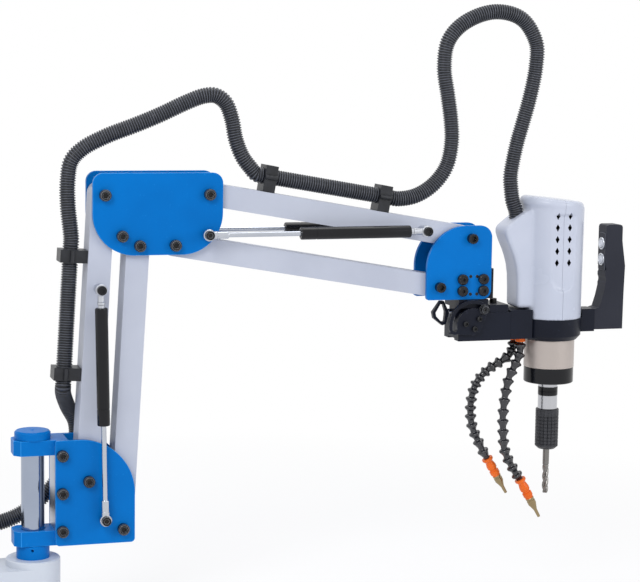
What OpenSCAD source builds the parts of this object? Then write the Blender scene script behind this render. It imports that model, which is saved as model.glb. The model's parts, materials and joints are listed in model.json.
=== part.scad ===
// Arm tapping machine: a swivelling column bracket, two parallelogram arms held up by
// gas springs, and a tilting head with a motor, a tapping chuck, a hand grip and two hoses.
// X runs along the arms, Y across them, Z up. The origin is on the column axis at the
// underside of the base casting.

/* [Base casting] */
// Height of the boss that the column stands in
base_h = 140; // [110:1:200]
// Radius of the boss round the column
base_boss_r = 47; // [44:1:60]
// Step from the boss top down to the top of the casting's body
base_step = 12; // [4:1:25]
// Distance from the column axis to the far end of the body
base_body_len = 190; // [150:5:260]
// Wall of the casting's body
base_wall = 10; // [6:1:14]
// Length of the foot flange
foot_len = 300; // [280:5:380]
// Width of the foot flange
foot_w = 190; // [160:5:260]
// Thickness of the foot flange
foot_t = 16; // [12:1:24]
// Distance from the column axis to the near end of the foot
foot_front = 75; // [65:1:95]
// Spacing of the foot bolts along the foot
foot_bolt_x = 250; // [220:5:270]
// Spacing of the foot bolts across the foot
foot_bolt_y = 145; // [130:5:150]
// Diameter of the foot bolt holes
foot_bolt_d = 13; // [9:0.5:17]
// Thickness of the gusset ribs
gusset_t = 10; // [6:1:14]
// Depth of the column's socket in the boss
socket_depth = 80; // [60:1:95]

/* [Column] */
// Diameter of the polished column
column_d = 40; // [36:1:46]
// Diameter of the collar under the bracket
collar_d = 57; // [52:1:70]
// Height of the collar
collar_h = 24; // [16:1:30]
// Diameter of the column cap
cap_d = 62; // [54:1:68]
// Height of the column cap
cap_h = 14; // [10:1:20]
// Height of the bearing blocks
block_h = 26; // [20:1:34]
// Reach of the bearing blocks past the column axis
block_reach = 35; // [32:1:40]
// Chamfer of the bearing blocks
block_chamfer = 11; // [4:1:14]

/* [Side plates] */
// Overall depth across a pair of side plates
pack_depth = 72; // [66:1:84]
// Thickness of a side plate
plate_t = 8; // [6:0.5:10]
// Distance from the column axis to the shoulder plate
shoulder_x0 = 34; // [32:1:40]
// Length of the shoulder plate
shoulder_len = 138; // [130:1:160]
// Height of the shoulder plate
shoulder_h = 184; // [170:1:220]
// Radius of the shoulder plate's large corner
shoulder_big_r = 97; // [60:1:110]
// Radius of the small corners of the shoulder plate
shoulder_small_r = 7; // [3:1:12]
// Width of the spine between the shoulder plates
spine_w = 23; // [20:1:26]
// Spacing of the three spine bolts
spine_bolt_pitch = 66; // [50:1:70]
// Height of the elbow plate
elbow_h = 141; // [135:1:160]
// Radius of the elbow plate's lower corners
elbow_big_r = 72; // [40:1:80]
// Radius of the elbow plate's upper corners
elbow_small_r = 18; // [6:1:24]
// Margin of the elbow plate beside the lower arm's pivot
elbow_left_margin = 20.5; // [18:0.5:28]
// Margin of the elbow plate beside the upper arm's pivot
elbow_right_margin = 24.5; // [18:0.5:30]
// Margin of the elbow plate above its upper pivots
elbow_top_margin = 37.5; // [24:0.5:42]
// Margin of the wrist plate left of its lower pivot
wrist_left_margin = 24; // [20:0.5:30]
// Margin of the wrist plate right of its upper pivot
wrist_right_margin = 40; // [36:0.5:48]
// Margin of the wrist plate above its upper pivot
wrist_top_margin = 23; // [20:0.5:30]
// Margin of the wrist plate below its lower pivot
wrist_bottom_margin = 23.5; // [20:0.5:30]
// Radius of the wrist plate's large corner
wrist_big_r = 76; // [40:1:84]
// Radius of the wrist plate's upper right corner
wrist_small_r = 22; // [8:1:26]

/* [Arms] */
// Distance between the pivots of each arm link
arm_len = 493; // [480:1:510]
// Lean of the lower arm towards the head, in degrees
lower_lean = 3.25; // [2:0.25:6]
// Droop of the upper arm below level, in degrees
upper_droop = 9.7; // [8:0.1:12]
// Distance along X between the two pivots of one plate
pivot_dx = 60; // [58:1:63]
// Distance along Z between the two pivots of one plate
pivot_dz = 87; // [84:1:92]
// Distance from the column axis to the first shoulder pivot
shoulder_pivot_x = 91; // [86:1:96]
// Height of the first shoulder pivot above the boss
shoulder_pivot_z = 136; // [132:1:142]
// Distance between the upper pivots of the elbow plate
elbow_span = 182; // [178:1:190]
// Width of the link tubes
link_w = 40; // [36:1:42]
// Depth of the link tubes
link_depth = 50; // [44:1:52]
// Wall of the link tubes
link_wall = 3.5; // [2.5:0.5:5]
// Radius of the bearing boss at a link's ends
link_boss_r = 16; // [14:0.5:18]

/* [Pins and screws] */
// Radius of the arm pivot pins
pin_r = 10; // [8:0.5:12]
// Radius of the large screws
screw_r = 6; // [5:0.5:7]
// Radius of the large screw heads
screw_head_r = 9; // [8:0.5:10]
// Height of the large screw heads
screw_head_h = 12; // [8:0.5:14]
// Radius of the medium screws
screw_m_r = 4; // [3:0.5:5]
// Radius of the medium screw heads
screw_m_head_r = 6.5; // [5.5:0.5:7.5]
// Height of the medium screw heads
screw_m_head_h = 8; // [5:0.5:9]

/* [Gas springs] */
// Diameter of the spring cylinders
cylinder_d = 22; // [20:0.5:24]
// Length of the spring cylinders
cylinder_len = 203; // [190:1:215]
// Wall of the spring cylinders
cylinder_wall = 1.5; // [1:0.25:1.75]
// Diameter of the spring rods
rod_d = 9; // [8:0.5:10]
// Radius of the rod end eyes
eye_r = 9; // [8:0.5:10]
// Width of the rod end eyes
eye_w = 14; // [10:1:16]
// Distance of the spring axes from the middle of the arms
spring_y = 50; // [48:0.5:54]
// Length from an eye to the cylinder's end
cylinder_neck = 31; // [24:1:36]
// Length from an eye to the bare rod
rod_neck = 35; // [28:1:44]
// Distance from the lower spring's stud on its link back to the elbow's pivot
lower_stud_back = 160; // [148:1:173]
// Distance from the upper spring's stud on its link back to the wrist's pivot
upper_stud_back = 93; // [83:1:103]

/* [Wrist and swivel] */
// Distance from the upper wrist pivot to the swivel axis
swivel_dx = 3.5; // [0:0.5:8]
// Width of the wrist block left of the swivel axis
wrist_block_left = 27.5; // [25:0.5:32]
// Width of the wrist block right of the swivel axis
wrist_block_right = 44; // [38:0.5:46]
// Height of the wrist block
wrist_block_h = 54.5; // [50:0.5:60]
// Radius of the swivel journal
swivel_r = 14; // [11:0.5:14]
// Length of the swivel journal in the wrist block
swivel_len = 40; // [30:1:48]
// Thickness of the swivel bracket's top
bracket_t = 16; // [12:0.5:16.5]
// Drop from the wrist block to the tilt axis
tilt_drop = 46.8; // [46.6:0.1:50]
// Thickness of the tongue in the bar's fork
tongue_t = 30; // [24:1:34]
// Radius of the tongue round the tilt pin
tongue_r = 24; // [20:1:25]
// Radius of the tilt pin
tilt_pin_r = 8; // [6:0.5:9]
// Travel of the pulled locking pin
plunger_travel = 8; // [5:1:10]

/* [Head bar] */
// Length of the head bar left of the tilt axis
bar_left = 25; // [24:0.5:30]
// Height of the head bar below the tilt axis
bar_down = 29.7; // [27:0.1:33]
// Height of the head bar above the tilt axis
bar_up = 21.3; // [20:0.1:23]
// Distance from the tilt axis to the motor bracket
bar_right = 77; // [72:1:84]
// Distance from the tilt axis to the tool axis
tool_dx = 170; // [165:1:180]
// Height of the rest block on the bar
rest_block_h = 14; // [11:1:16]
// Outer radius of the sector plate
sector_r = 46; // [44:0.5:46.5]
// Radius of the sector plate's slot
slot_r = 35.5; // [34:0.5:38]
// Thickness of the sector plate
sector_t = 8; // [6:0.5:9]

/* [Motor and reducer] */
// Radius of the motor cover at its foot
cover_r = 56.5; // [54:0.5:60]
// Widening of the motor cover towards its top
cover_draft = 1.5; // [0:0.5:3]
// Height of the motor cover on the tool axis
cover_h = 220; // [200:1:245]
// Slope of the cover's top, in degrees
cover_slope = 6.3; // [4:0.1:8]
// Overhang of the rounded rim at the cover's top
cover_lip = 1.5; // [1:0.5:3]
// Radius of the rounded rim at the cover's top
lip_r = 10; // [7:0.5:12]
// Wall of the motor cover
cover_wall = 3; // [2:0.5:4]
// Height of the motor clamp ring
ring_h = 31; // [26:1:36]
// Height of the taper under the clamp ring
ring_taper_h = 8.5; // [5:0.5:12]
// Radius of the reducer
reducer_r = 46.5; // [42:0.5:48]
// Height of the reducer
reducer_h = 52.5; // [46:0.5:64]
// Height of the black end ring
end_ring_h = 29; // [20:1:32]
// Radius of the servo motor
motor_r = 42; // [36:1:46]
// Height of the servo motor
motor_h = 170; // [140:1:175]
// Width of the cable housing across
cable_box_w = 58; // [50:1:66]
// Size of a vent along Z
vent_h = 15.5; // [8:0.5:18]
// Size of a vent along X
vent_w = 9; // [5:0.5:11]
// Distance between vents along Z
vent_pitch = 21.4; // [18:0.1:24]
// Distance of the vent columns from the seam
vent_dx = 12; // [8:0.5:14]
// Half width of the flat panel round the vents
panel_half = 25; // [20:0.5:28]

/* [Hand grip] */
// Depth of the hand grip
grip_w = 34; // [28:1:38]
// Height of the hand grip
grip_h = 195; // [170:1:220]
// Distance from the tool axis to the grip's finger side
grip_x = 102; // [98:1:112]
// Thickness of the hand grip
grip_t = 33; // [30:1:38]
// Radius of the button bezels
bezel_r = 11; // [9.5:0.5:12]
// Radius of the buttons
button_r = 7.5; // [6:0.5:8]
// Travel of the buttons
button_travel = 2.5; // [1.5:0.5:3]
// Distance between the two buttons
button_pitch = 29.5; // [26:0.5:34]

/* [Spindle] */
// Radius of the chuck sleeve
sleeve_r = 18; // [15:0.5:19]
// Length of the chuck sleeve below the end ring
sleeve_len = 51.5; // [44:0.5:60]
// Radius of the tap collet
collet_r = 21.5; // [18:0.5:23]
// Length of the tap collet
collet_len = 75.5; // [60:0.5:90]
// Diameter of the tap
tap_d = 12; // [8:1:14]
// Length of the tap outside the collet
tap_len = 85; // [60:1:100]

/* [Hoses] */
// Outer radius of a hose segment
hose_r = 10.8; // [9:0.2:12]
// Radius of the hose's bore
hose_bore_r = 4; // [3:0.5:5]
// Diameter of the cable conduit
conduit_d = 28; // [24:1:30]
// Distance from a link's middle to the conduit's middle
conduit_off = 47; // [46:0.5:50]
// Length of a conduit clip along the link
clip_len = 22; // [16:1:28]

/* [Fits] */
// Running clearance on the radius of pins and journals
run_fit = 0.05; // [0.02:0.01:0.08]
// Clearance on the radius of screw holes
screw_fit = 0.1; // [0.05:0.05:0.3]
// Gap between faces that slide past each other
side_gap = 0.4; // [0.3:0.1:0.8]

/* [Hidden] */

$fn = 48;
eps = 0.01;
plate_out = pack_depth / 2;
plate_in = plate_out - plate_t;
hex_w = 1.15;

// Heights of the column parts
boss_top = base_h;
body_top = base_h - base_step;
shoulder_z0 = boss_top + collar_h + side_gap;
shoulder_z1 = shoulder_z0 + shoulder_h;
cap_z = shoulder_z1 + side_gap;
spine_bolt_x = shoulder_x0 + spine_w / 2;
spine_bolt_z = shoulder_z0 + shoulder_h / 2 + 0.5;

// Pivots as [x, z]
pivot_step = [pivot_dx, -pivot_dz];
lower_dir = [sin(lower_lean), cos(lower_lean)];
upper_dir = [cos(upper_droop), -sin(upper_droop)];
lower_side = [-lower_dir[1], lower_dir[0]];
upper_side = [-upper_dir[1], upper_dir[0]];
piv_a = [shoulder_pivot_x, boss_top + shoulder_pivot_z];
piv_b = piv_a + pivot_step;
piv_a2 = piv_a + arm_len * lower_dir;
piv_b2 = piv_b + arm_len * lower_dir;
piv_c = piv_a2 + [elbow_span, 0];
piv_d = piv_c + [-pivot_dx, -pivot_dz];
piv_c2 = piv_c + arm_len * upper_dir;
piv_d2 = piv_d + arm_len * upper_dir;

// Places of the other screws and of the gas springs' studs
elbow_stop = piv_a2 + [29.6, -70];
stop_r = 6;
shoulder_stud = piv_a + [26.7, -66.6];
elbow_stud = piv_c + [-4, -68.9];
link_a_stud = piv_a2 - lower_stud_back * lower_dir;
link_c_stud = piv_c2 - upper_stud_back * upper_dir;
stud_r = 5;
stud_head_r = 8;
stud_head_h = 6;

// Wrist, swivel and tilt
wrist_x0 = piv_d2[0] - wrist_left_margin;
wrist_x1 = piv_c2[0] + wrist_right_margin;
wrist_z0 = piv_d2[1] - wrist_bottom_margin;
wrist_z1 = piv_c2[1] + wrist_top_margin;
swivel_x = piv_c2[0] + swivel_dx;
block_z0 = wrist_z0;
tilt_z = block_z0 - tilt_drop;
bracket_z1 = block_z0 - side_gap;
bracket_z0 = bracket_z1 - bracket_t;
clamp_angle = 55.5;
clamp_at = [swivel_x + slot_r * cos(clamp_angle), tilt_z + slot_r * sin(clamp_angle)];
clamp_ear_r = 7.3;
slot_half = screw_m_r + 0.5;
slot_end_angle = 190;
tilt_stop_x = 35.5;

// Head
tool_x = swivel_x + tool_dx;
bar_z0 = tilt_z - bar_down;
bar_z1 = tilt_z + bar_up;
bar_x1 = swivel_x + bar_right;
ring_r = cover_r + 0.5;
ring_z1 = tilt_z + 6;
ring_z0 = ring_z1 - ring_h;
reducer_z1 = ring_z0 - ring_taper_h;
reducer_z0 = reducer_z1 - reducer_h;
end_ring_z0 = reducer_z0 - end_ring_h;
sleeve_z0 = end_ring_z0 - sleeve_len;
collet_z0 = sleeve_z0 - collet_len;
tap_z0 = collet_z0 - tap_len;
cover_z1 = ring_z1 + cover_h;
bracket_x1 = tool_x - 50;
cable_box_z0 = bar_z1 + 5;
sleeve_shaft_r = 12;
motor_neck_r = 30;

// Hand grip
grip_z0 = ring_z0 + 7;
grip_z1 = grip_z0 + grip_h;
grip_x0 = tool_x + grip_x;
grip_x1 = grip_x0 + grip_t;
handle_block_x1 = grip_x0 - 20;
button_z = [grip_z1 - 36, grip_z1 - 36 - button_pitch];
bezel_t = 2.5;

// Conduit: the clips' places along the links and the points of the free stretches
conduit_r = conduit_d / 2;
lower_clip_s = [182, arm_len - 108];
upper_clip_s = [108, arm_len - 170];
gland_at = [-150, 22];
// Free stretches of the conduit: points from the top of the boss, from the lower arm's upper
// pivot, from the upper arm's outer pivot and from the cover's foot on the tool axis
conduit_rise = [[-138, 36, 38], [-104, 50, 44], [-49, 60, 49], [-11, 64, 62], [33, 65, 95],
    [66, 64, 138], [84, 60, 182], [84, 53, 222], [68, 43, 254], [56, 18, 282]];
conduit_bow = [[-57, -18], [-57, 24], [-51, 56], [-33, 76], [6, 97], [61, 118], [100, 134],
    [152, 158], [180, 168], [200, 169], [218, 157], [230, 128], [237, 94], [250, 62], [264, 44]];
conduit_loop = [[-97, 75], [-63, 95], [-38, 128], [-29, 172], [-31, 210], [-38, 255],
    [-46, 305], [-39, 353], [-8, 386], [50, 406], [102, 394], [131, 352], [132, 310],
    [121, 251], [108, 204], [99, 172], [92, 140]];
conduit_drop = [[-86, 260], [-84, 236], [-81, 217], [-74, 197], [-72, 172]];
conduit_lead = 14;

// Air hoses: joints of the segments as [x, z] from the bar's underside on the tool axis
hose_rear_y = 12;
hose_front_y = -14;
hose_root_z = -8.5;
hose_rear_line = [[-67, hose_root_z], [-67, -23], [-75, -37], [-90, -47], [-104, -54],
    [-117, -62], [-128, -72], [-137, -83], [-143, -95], [-147, -110], [-149, -126],
    [-149, -142], [-147, -159], [-142, -176], [-134, -192], [-125, -210], [-114, -228],
    [-74, -296]];
hose_front_line = [[-64, hose_root_z], [-64, -26], [-69, -42], [-77, -57], [-85, -74],
    [-89, -92], [-92, -110], [-94, -130], [-95, -149], [-94, -168], [-93, -187], [-91, -205],
    [-85, -222], [-76, -238], [-67, -253], [-58, -265], [-17, -339]];
hose_rear_path = [for (p = hose_rear_line) p + [tool_x, bar_z0]];
hose_front_path = [for (p = hose_front_line) p + [tool_x, bar_z0]];

// ---- Shapes used by several sub-parts ----

// Extrudes an outline drawn in X and Z from y0 to y1
module in_xz(y0, y1) {
    translate([0, y1, 0]) rotate([90, 0, 0]) linear_extrude(y1 - y0) children();
}

// A quarter of a disc in the quadrant given by the signs sx and sy
module quarter(r, sx, sy) {
    intersection() {
        circle(r, $fn = 96);
        translate([sx < 0 ? -r : 0, sy < 0 ? -r : 0]) square(r);
    }
}

// A rectangle with its own radius at each corner: top left, top right, bottom right, bottom left
module rounded_plate(x0, x1, z0, z1, tl, tr, br, bl) {
    polygon([[x0, z0 + bl], [x0 + bl, z0], [x1 - br, z0], [x1, z0 + br],
        [x1, z1 - tr], [x1 - tr, z1], [x0 + tl, z1], [x0, z1 - tl]]);
    if (bl > 0) translate([x0 + bl, z0 + bl]) quarter(bl, -1, -1);
    if (br > 0) translate([x1 - br, z0 + br]) quarter(br, 1, -1);
    if (tr > 0) translate([x1 - tr, z1 - tr]) quarter(tr, 1, 1);
    if (tl > 0) translate([x0 + tl, z1 - tl]) quarter(tl, -1, 1);
}

// Round holes through an XZ outline
module holes(points, r) {
    for (p = points) translate(p) circle(r);
}

// A cylinder along Y between two depths at the point p
module rod_y(p, r, y0, y1) {
    translate([p[0], y1, p[1]]) rotate([90, 0, 0]) cylinder(r = r, h = y1 - y0);
}

// A socket head cap screw along Z: the head stands on z = 0 and the shank runs down
module cap_screw(r, head_r, head_h, len) {
    difference() {
        union() {
            translate([0, 0, -len]) cylinder(r = r, h = len + eps);
            cylinder(r = head_r, h = head_h - 0.8);
            translate([0, 0, head_h - 0.8]) cylinder(r1 = head_r, r2 = head_r - 0.8, h = 0.8);
        }
        translate([0, 0, head_h / 2]) cylinder(r = r * 0.95, h = head_h, $fn = 6);
    }
}

// A cap screw in a plate's outer face at the point p: side is -1 for the front, 1 for the rear
module plate_screw(p, side, r, head_r, head_h, len) {
    translate([p[0], side * plate_out, p[1]]) rotate([-90 * side, 0, 0])
        cap_screw(r, head_r, head_h, len);
}

// A pivot pin between two side plates, drawn tight by a screw from each side
module pivot(p) {
    rod_y(p, pin_r, -plate_in, plate_in);
    for (side = [-1, 1]) plate_screw(p, side, screw_r, screw_head_r, screw_head_h, plate_t + eps);
}

// A stud for a gas spring's eye, standing out from the depth y_from
module spring_stud(p, side, y_from) {
    seat = spring_y - eye_w / 2 - side_gap / 2;
    far = spring_y + eye_w / 2 + side_gap / 2;
    translate([p[0], 0, p[1]]) rotate([-90 * side, 0, 0]) {
        translate([0, 0, y_from]) cylinder(r = stud_head_r, h = seat - y_from);
        translate([0, 0, seat - eps]) cylinder(r = stud_r, h = far - seat + 2 * eps);
        translate([0, 0, far]) difference() {
            cylinder(r = stud_head_r, h = stud_head_h);
            translate([0, 0, stud_head_h / 2]) cylinder(r = 4.6, h = stud_head_h, $fn = 6);
        }
    }
}

// A link tube from the point p along the direction angle, with a bearing boss at each end
module link(p, angle) {
    translate([p[0], 0, p[1]]) rotate([0, -angle, 0]) difference() {
        union() {
            difference() {
                union() {
                    translate([0, -link_depth / 2, -link_w / 2])
                        cube([arm_len, link_depth, link_w]);
                    for (x = [0, arm_len])
                        rod_y([x, 0], link_w / 2, -link_depth / 2, link_depth / 2);
                }
                translate([-link_w, -link_depth / 2 + link_wall, -link_w / 2 + link_wall])
                    cube([arm_len + 2 * link_w, link_depth - 2 * link_wall,
                        link_w - 2 * link_wall]);
            }
            for (x = [0, arm_len])
                rod_y([x, 0], link_boss_r, -plate_in + side_gap, plate_in - side_gap);
        }
        for (x = [0, arm_len]) rod_y([x, 0], pin_r + run_fit, -plate_out, plate_out);
    }
}

// A spring's eye at the origin with its neck along X
module spring_eye(neck_r, neck_len) {
    difference() {
        union() {
            rod_y([0, 0], eye_r, -eye_w / 2, eye_w / 2);
            rotate([0, 90, 0]) cylinder(r = neck_r, h = neck_len);
        }
        rod_y([0, 0], stud_r + run_fit, -eye_w, eye_w);
    }
}

// A gas spring's cylinder: the eye at the origin, the open end along X
module spring_cylinder() {
    groove_x = cylinder_neck + cylinder_len - 18;
    spring_eye(5.5, cylinder_neck + eps);
    rotate([0, 90, 0]) {
        translate([0, 0, cylinder_neck - 8]) cylinder(r1 = 7.5, r2 = cylinder_d / 2 - 1, h = 8);
        translate([0, 0, cylinder_neck]) difference() {
            union() {
                cylinder(r1 = cylinder_d / 2 - 1, r2 = cylinder_d / 2, h = 2);
                translate([0, 0, 2]) cylinder(d = cylinder_d, h = cylinder_len - 2);
            }
            translate([0, 0, 6])
                cylinder(r = cylinder_d / 2 - cylinder_wall, h = cylinder_len);
            translate([0, 0, groove_x - cylinder_neck]) difference() {
                cylinder(d = cylinder_d + 2, h = 2.5);
                cylinder(d = cylinder_d - 1.2, h = 2.5);
            }
        }
    }
}

// A gas spring's rod: the eye at the origin, the rod's tip at the length len along X
module spring_rod(len) {
    spring_eye(6.5, rod_neck);
    rotate([0, 90, 0]) {
        translate([0, 0, rod_neck - eps]) cylinder(d = rod_d, h = len - rod_neck - 1);
        translate([0, 0, len - 1 - 2 * eps]) cylinder(d1 = rod_d, d2 = rod_d - 2, h = 1);
    }
}

// Places a spring part at the point p on both sides of the arms, turned to point at q
module toward(p, q) {
    for (side = [-1, 1]) translate([p[0], side * spring_y, p[1]])
        rotate([0, -atan2(q[1] - p[1], q[0] - p[0]), 0]) children();
}

// A tube through the points of a path, as one closed sweep with n sides
function unit(v) = v / norm(v);
function path_dir(path, i) = unit(path[min(i + 1, len(path) - 1)] - path[max(i - 1, 0)]);
function ring_points(path, i, r, n) =
    let (d = path_dir(path, i), s = unit(cross([0, 1, 0], d)), t = cross(d, s))
    [for (k = [0:n - 1]) path[i] + r * (cos(360 * k / n) * s + sin(360 * k / n) * t)];
module sweep_tube(path, r, n) {
    m = len(path);
    points = [for (i = [0:m - 1]) each ring_points(path, i, r, n)];
    sides = [for (i = [0:m - 2]) for (k = [0:n - 1])
        let (a = i * n + k, b = i * n + (k + 1) % n) [a, b, b + n, a + n]];
    caps = [[for (k = [n - 1:-1:0]) k], [for (k = [0:n - 1]) (m - 1) * n + k]];
    polyhedron(points, concat(sides, caps), convexity = 6);
}

// A conduit clip on a link: the frame's X runs along the link and its Z points away from it
module conduit_clip() {
    wide = conduit_d + 12;
    top = conduit_off + conduit_r + 6;
    difference() {
        union() {
            translate([-clip_len / 2, -wide / 2, link_w / 2])
                cube([clip_len, wide, conduit_off - link_w / 2 - 1]);
            translate([-clip_len / 2, -wide / 2, conduit_off])
                cube([clip_len, wide, top - conduit_off]);
            translate([-clip_len / 2 + 3, -wide / 2 + 1, conduit_off - 2])
                cube([clip_len - 6, wide - 2, 3]);
            translate([-clip_len / 2, -wide / 2 - 3, conduit_off - 0.5]) rotate([0, 90, 0])
                cylinder(r = 4, h = clip_len);
            translate([-clip_len / 2, wide / 2 + 3, conduit_off - 0.5]) rotate([0, 90, 0])
                cylinder(r = 4, h = clip_len);
        }
        translate([-clip_len, 0, conduit_off]) rotate([0, 90, 0])
            cylinder(r = conduit_r + 0.1, h = 2 * clip_len);
    }
}

// Places children at the length s along the lower link's or the upper link's conduit side
module on_link(p, angle, s) {
    translate([p[0], 0, p[1]]) rotate([0, -angle, 0]) translate([s, 0, 0]) children();
}

// One segment of an air hose along Z: a neck in the cup before it, then its own flared cup
module hose_segment(len) {
    rotate_extrude() polygon([[hose_bore_r - 0.6, -2.5], [hose_bore_r + 2.2, -2.5],
        [hose_bore_r + 2.6, 1], [hose_r, 4.5], [hose_r, 6.5], [hose_bore_r + 3, len * 0.85],
        [hose_bore_r + 3, len + 0.5], [hose_bore_r + 0.6, len + 0.5]]);
}

// A row of hose segments along the first joints of a path
module hose(path, y, count) {
    for (i = [0:count - 1]) {
        d = path[i + 1] - path[i];
        translate([path[i][0], y, path[i][1]]) rotate([0, atan2(d[0], d[1]), 0])
            hose_segment(norm(d));
    }
}

// An orange socket and a brass tip at the end of a hose
module nozzle(path, y) {
    tip = path[len(path) - 1];
    root = path[len(path) - 2];
    total = norm(tip - root);
    cup = hose_r - 0.2;
    body = hose_r - 2;
    translate([root[0], y, root[1]]) rotate([0, atan2(tip[0] - root[0], tip[1] - root[1]), 0])
        rotate_extrude() polygon([[hose_bore_r - 1, 0], [cup, 1], [cup, 5], [body - 1.5, 9],
            [body, total * 0.2], [body, total * 0.29], [body - 1, total * 0.31],
            [body - 1, total * 0.33], [body, total * 0.35], [body - 0.5, total * 0.56],
            [body, total * 0.57], [body - 0.6, total * 0.7], [3.6, total * 0.79],
            [2.6, total], [1.4, total], [1.4, total * 0.6]]);
}

// ---- Base and column (fixed) ----

// Cast base: bolted foot, hollow round-ended body, ribs and the column's boss
module base_casting() {
    foot_x1 = foot_front;
    foot_x0 = foot_x1 - foot_len;
    mid_x = (foot_x0 + foot_x1) / 2;
    body_x0 = -base_body_len;
    color("gainsboro") difference() {
        union() {
            linear_extrude(foot_t)
                rounded_plate(foot_x0, foot_x1, -foot_w / 2, foot_w / 2, 24, 24, 24, 24);
            linear_extrude(body_top)
                rounded_plate(body_x0, 0, -base_boss_r, base_boss_r, 20, 0, 0, 20);
            cylinder(r = base_boss_r, h = base_h - 2, $fn = 96);
            translate([0, 0, base_h - 2])
                cylinder(r1 = base_boss_r, r2 = base_boss_r - 2, h = 2, $fn = 96);
            for (x = [body_x0 + 40, mid_x + 10, -20]) in_yz(x - gusset_t / 2, x + gusset_t / 2)
                polygon([[-foot_w / 2 + 10, foot_t - eps], [foot_w / 2 - 10, foot_t - eps],
                    [base_boss_r - 1, body_top - 25], [-base_boss_r + 1, body_top - 25]]);
        }
        translate([0, 0, base_h - socket_depth]) cylinder(d = column_d, h = socket_depth + 1);
        base_pocket(body_x0);
        for (sx = [-1, 1]) for (sy = [-1, 1])
            translate([mid_x + sx * foot_bolt_x / 2, sy * foot_bolt_y / 2, -1]) {
                cylinder(d = foot_bolt_d, h = foot_t + 2);
                translate([0, 0, foot_t]) cylinder(d = foot_bolt_d + 12, h = 3);
            }
        translate([gland_at[0], gland_at[1], body_top - base_wall - 1])
            cylinder(r = conduit_r + 1.5, h = base_wall + 2);
    }
}

// Extrudes an outline drawn in Y and Z from x0 to x1
module in_yz(x0, x1) {
    translate([x0, 0, 0]) rotate([90, 0, 90]) linear_extrude(x1 - x0) children();
}

// The open underside of the casting, which leaves the walls, the top and the boss's core
module base_pocket(body_x0) {
    inner = base_boss_r - base_wall;
    translate([0, 0, -1]) linear_extrude(body_top - base_wall + 1) difference() {
        rounded_plate(body_x0 + base_wall, -base_boss_r + 4, -inner, inner, 12, 6, 6, 12);
        translate([(body_x0 - base_boss_r) / 2 - 4, -inner - 1]) square([8, 2 * inner + 2]);
    }
}

// Screwed gland that the conduit leaves the casting by
module conduit_gland() {
    color("dimgray") translate([gland_at[0], gland_at[1], body_top]) difference() {
        union() {
            cylinder(r = conduit_r + 9, h = 6, $fn = 6);
            cylinder(r = conduit_r + 4, h = 14);
        }
        translate([0, 0, -1]) cylinder(r = conduit_r + 0.1, h = 16);
    }
}

// Polished column
module column_shaft() {
    top = cap_z + cap_h - 5;
    bottom = base_h - socket_depth;
    color("silver") {
        translate([0, 0, bottom]) cylinder(d = column_d, h = top - bottom - 1.5);
        translate([0, 0, top - 1.5 - eps]) cylinder(d1 = column_d, d2 = column_d - 3, h = 1.5);
    }
}

// Collar that the bracket turns on, held to the column by a grub screw
module column_collar() {
    color("dodgerblue") translate([0, 0, boss_top]) difference() {
        union() {
            cylinder(d = collar_d, h = collar_h - 1.5);
            translate([0, 0, collar_h - 1.5])
                cylinder(d1 = collar_d, d2 = collar_d - 3, h = 1.5);
        }
        translate([0, 0, -1]) cylinder(d = column_d, h = collar_h + 2);
        translate([0, -column_d / 2 + 1, collar_h - 7]) rotate([90, 0, -30])
            cylinder(r = grub_r, h = collar_d);
    }
}

// Cap screwed onto the column over the bracket
module column_cap() {
    color("dodgerblue") translate([0, 0, cap_z]) difference() {
        union() {
            cylinder(d = cap_d, h = cap_h - 3, $fn = 96);
            translate([0, 0, cap_h - 3]) cylinder(d1 = cap_d, d2 = cap_d - 6, h = 3, $fn = 96);
        }
        translate([0, 0, -1]) cylinder(d = column_d, h = cap_h - 4);
        translate([0, 0, cap_h - 2]) cylinder(r1 = 0.5, r2 = 4, h = 2.01);
        translate([0, 0, cap_screw_z]) rotate([-90, 0, 0]) cylinder(r = grub_r, h = cap_d);
    }
}

// Grub screw in the cap's rear, which holds it on the column
grub_r = 2.5;
cap_screw_z = 5;
module cap_bolt() {
    color("dimgray") translate([0, column_d / 2 + 0.1, cap_z + cap_screw_z])
        rotate([-90, 0, 0]) difference() {
            cylinder(r = grub_r, h = (cap_d - column_d) / 2 - 1);
            translate([0, 0, (cap_d - column_d) / 2 - 4]) cylinder(r = 1.4, h = 5, $fn = 6);
        }
}

// ---- Column bracket (swivels on the column) ----

// Two bearing blocks between the shoulder plates, bored for the column, with a tail that
// closes the spine's end
block_tail = 10;
module bearing_blocks() {
    c = block_chamfer;
    color("dodgerblue") for (upper = [0, 1])
        translate([0, 0, upper ? shoulder_z1 - block_h : shoulder_z0]) {
            difference() {
                linear_extrude(block_h) polygon([[shoulder_x0, plate_in],
                    [shoulder_x0, -plate_in], [c - block_reach, -plate_in],
                    [-block_reach, c - plate_in], [-block_reach, plate_in - c],
                    [c - block_reach, plate_in]]);
                translate([0, 0, -1]) cylinder(r = column_d / 2 + run_fit, h = block_h + 2);
                for (z = [-1, block_h - 1.5]) translate([0, 0, z])
                    cylinder(r = column_d / 2 + 2, h = 2.5);
            }
            translate([shoulder_x0 - eps, -plate_in, upper ? block_h - block_tail : 0])
                cube([spine_w + eps, 2 * plate_in, block_tail]);
        }
}

// Spine that the side plates are screwed to, between the bearing blocks' tails
module turret_spine() {
    color("silver") difference() {
        translate([shoulder_x0, -plate_in, shoulder_z0 + block_tail])
            cube([spine_w, 2 * plate_in, shoulder_h - 2 * block_tail]);
        for (p = spine_bolts()) rod_y(p, screw_r, -plate_out, plate_out);
    }
}

function spine_bolts() = [for (i = [-1:1])
    [spine_bolt_x, spine_bolt_z + i * spine_bolt_pitch]];

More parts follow.
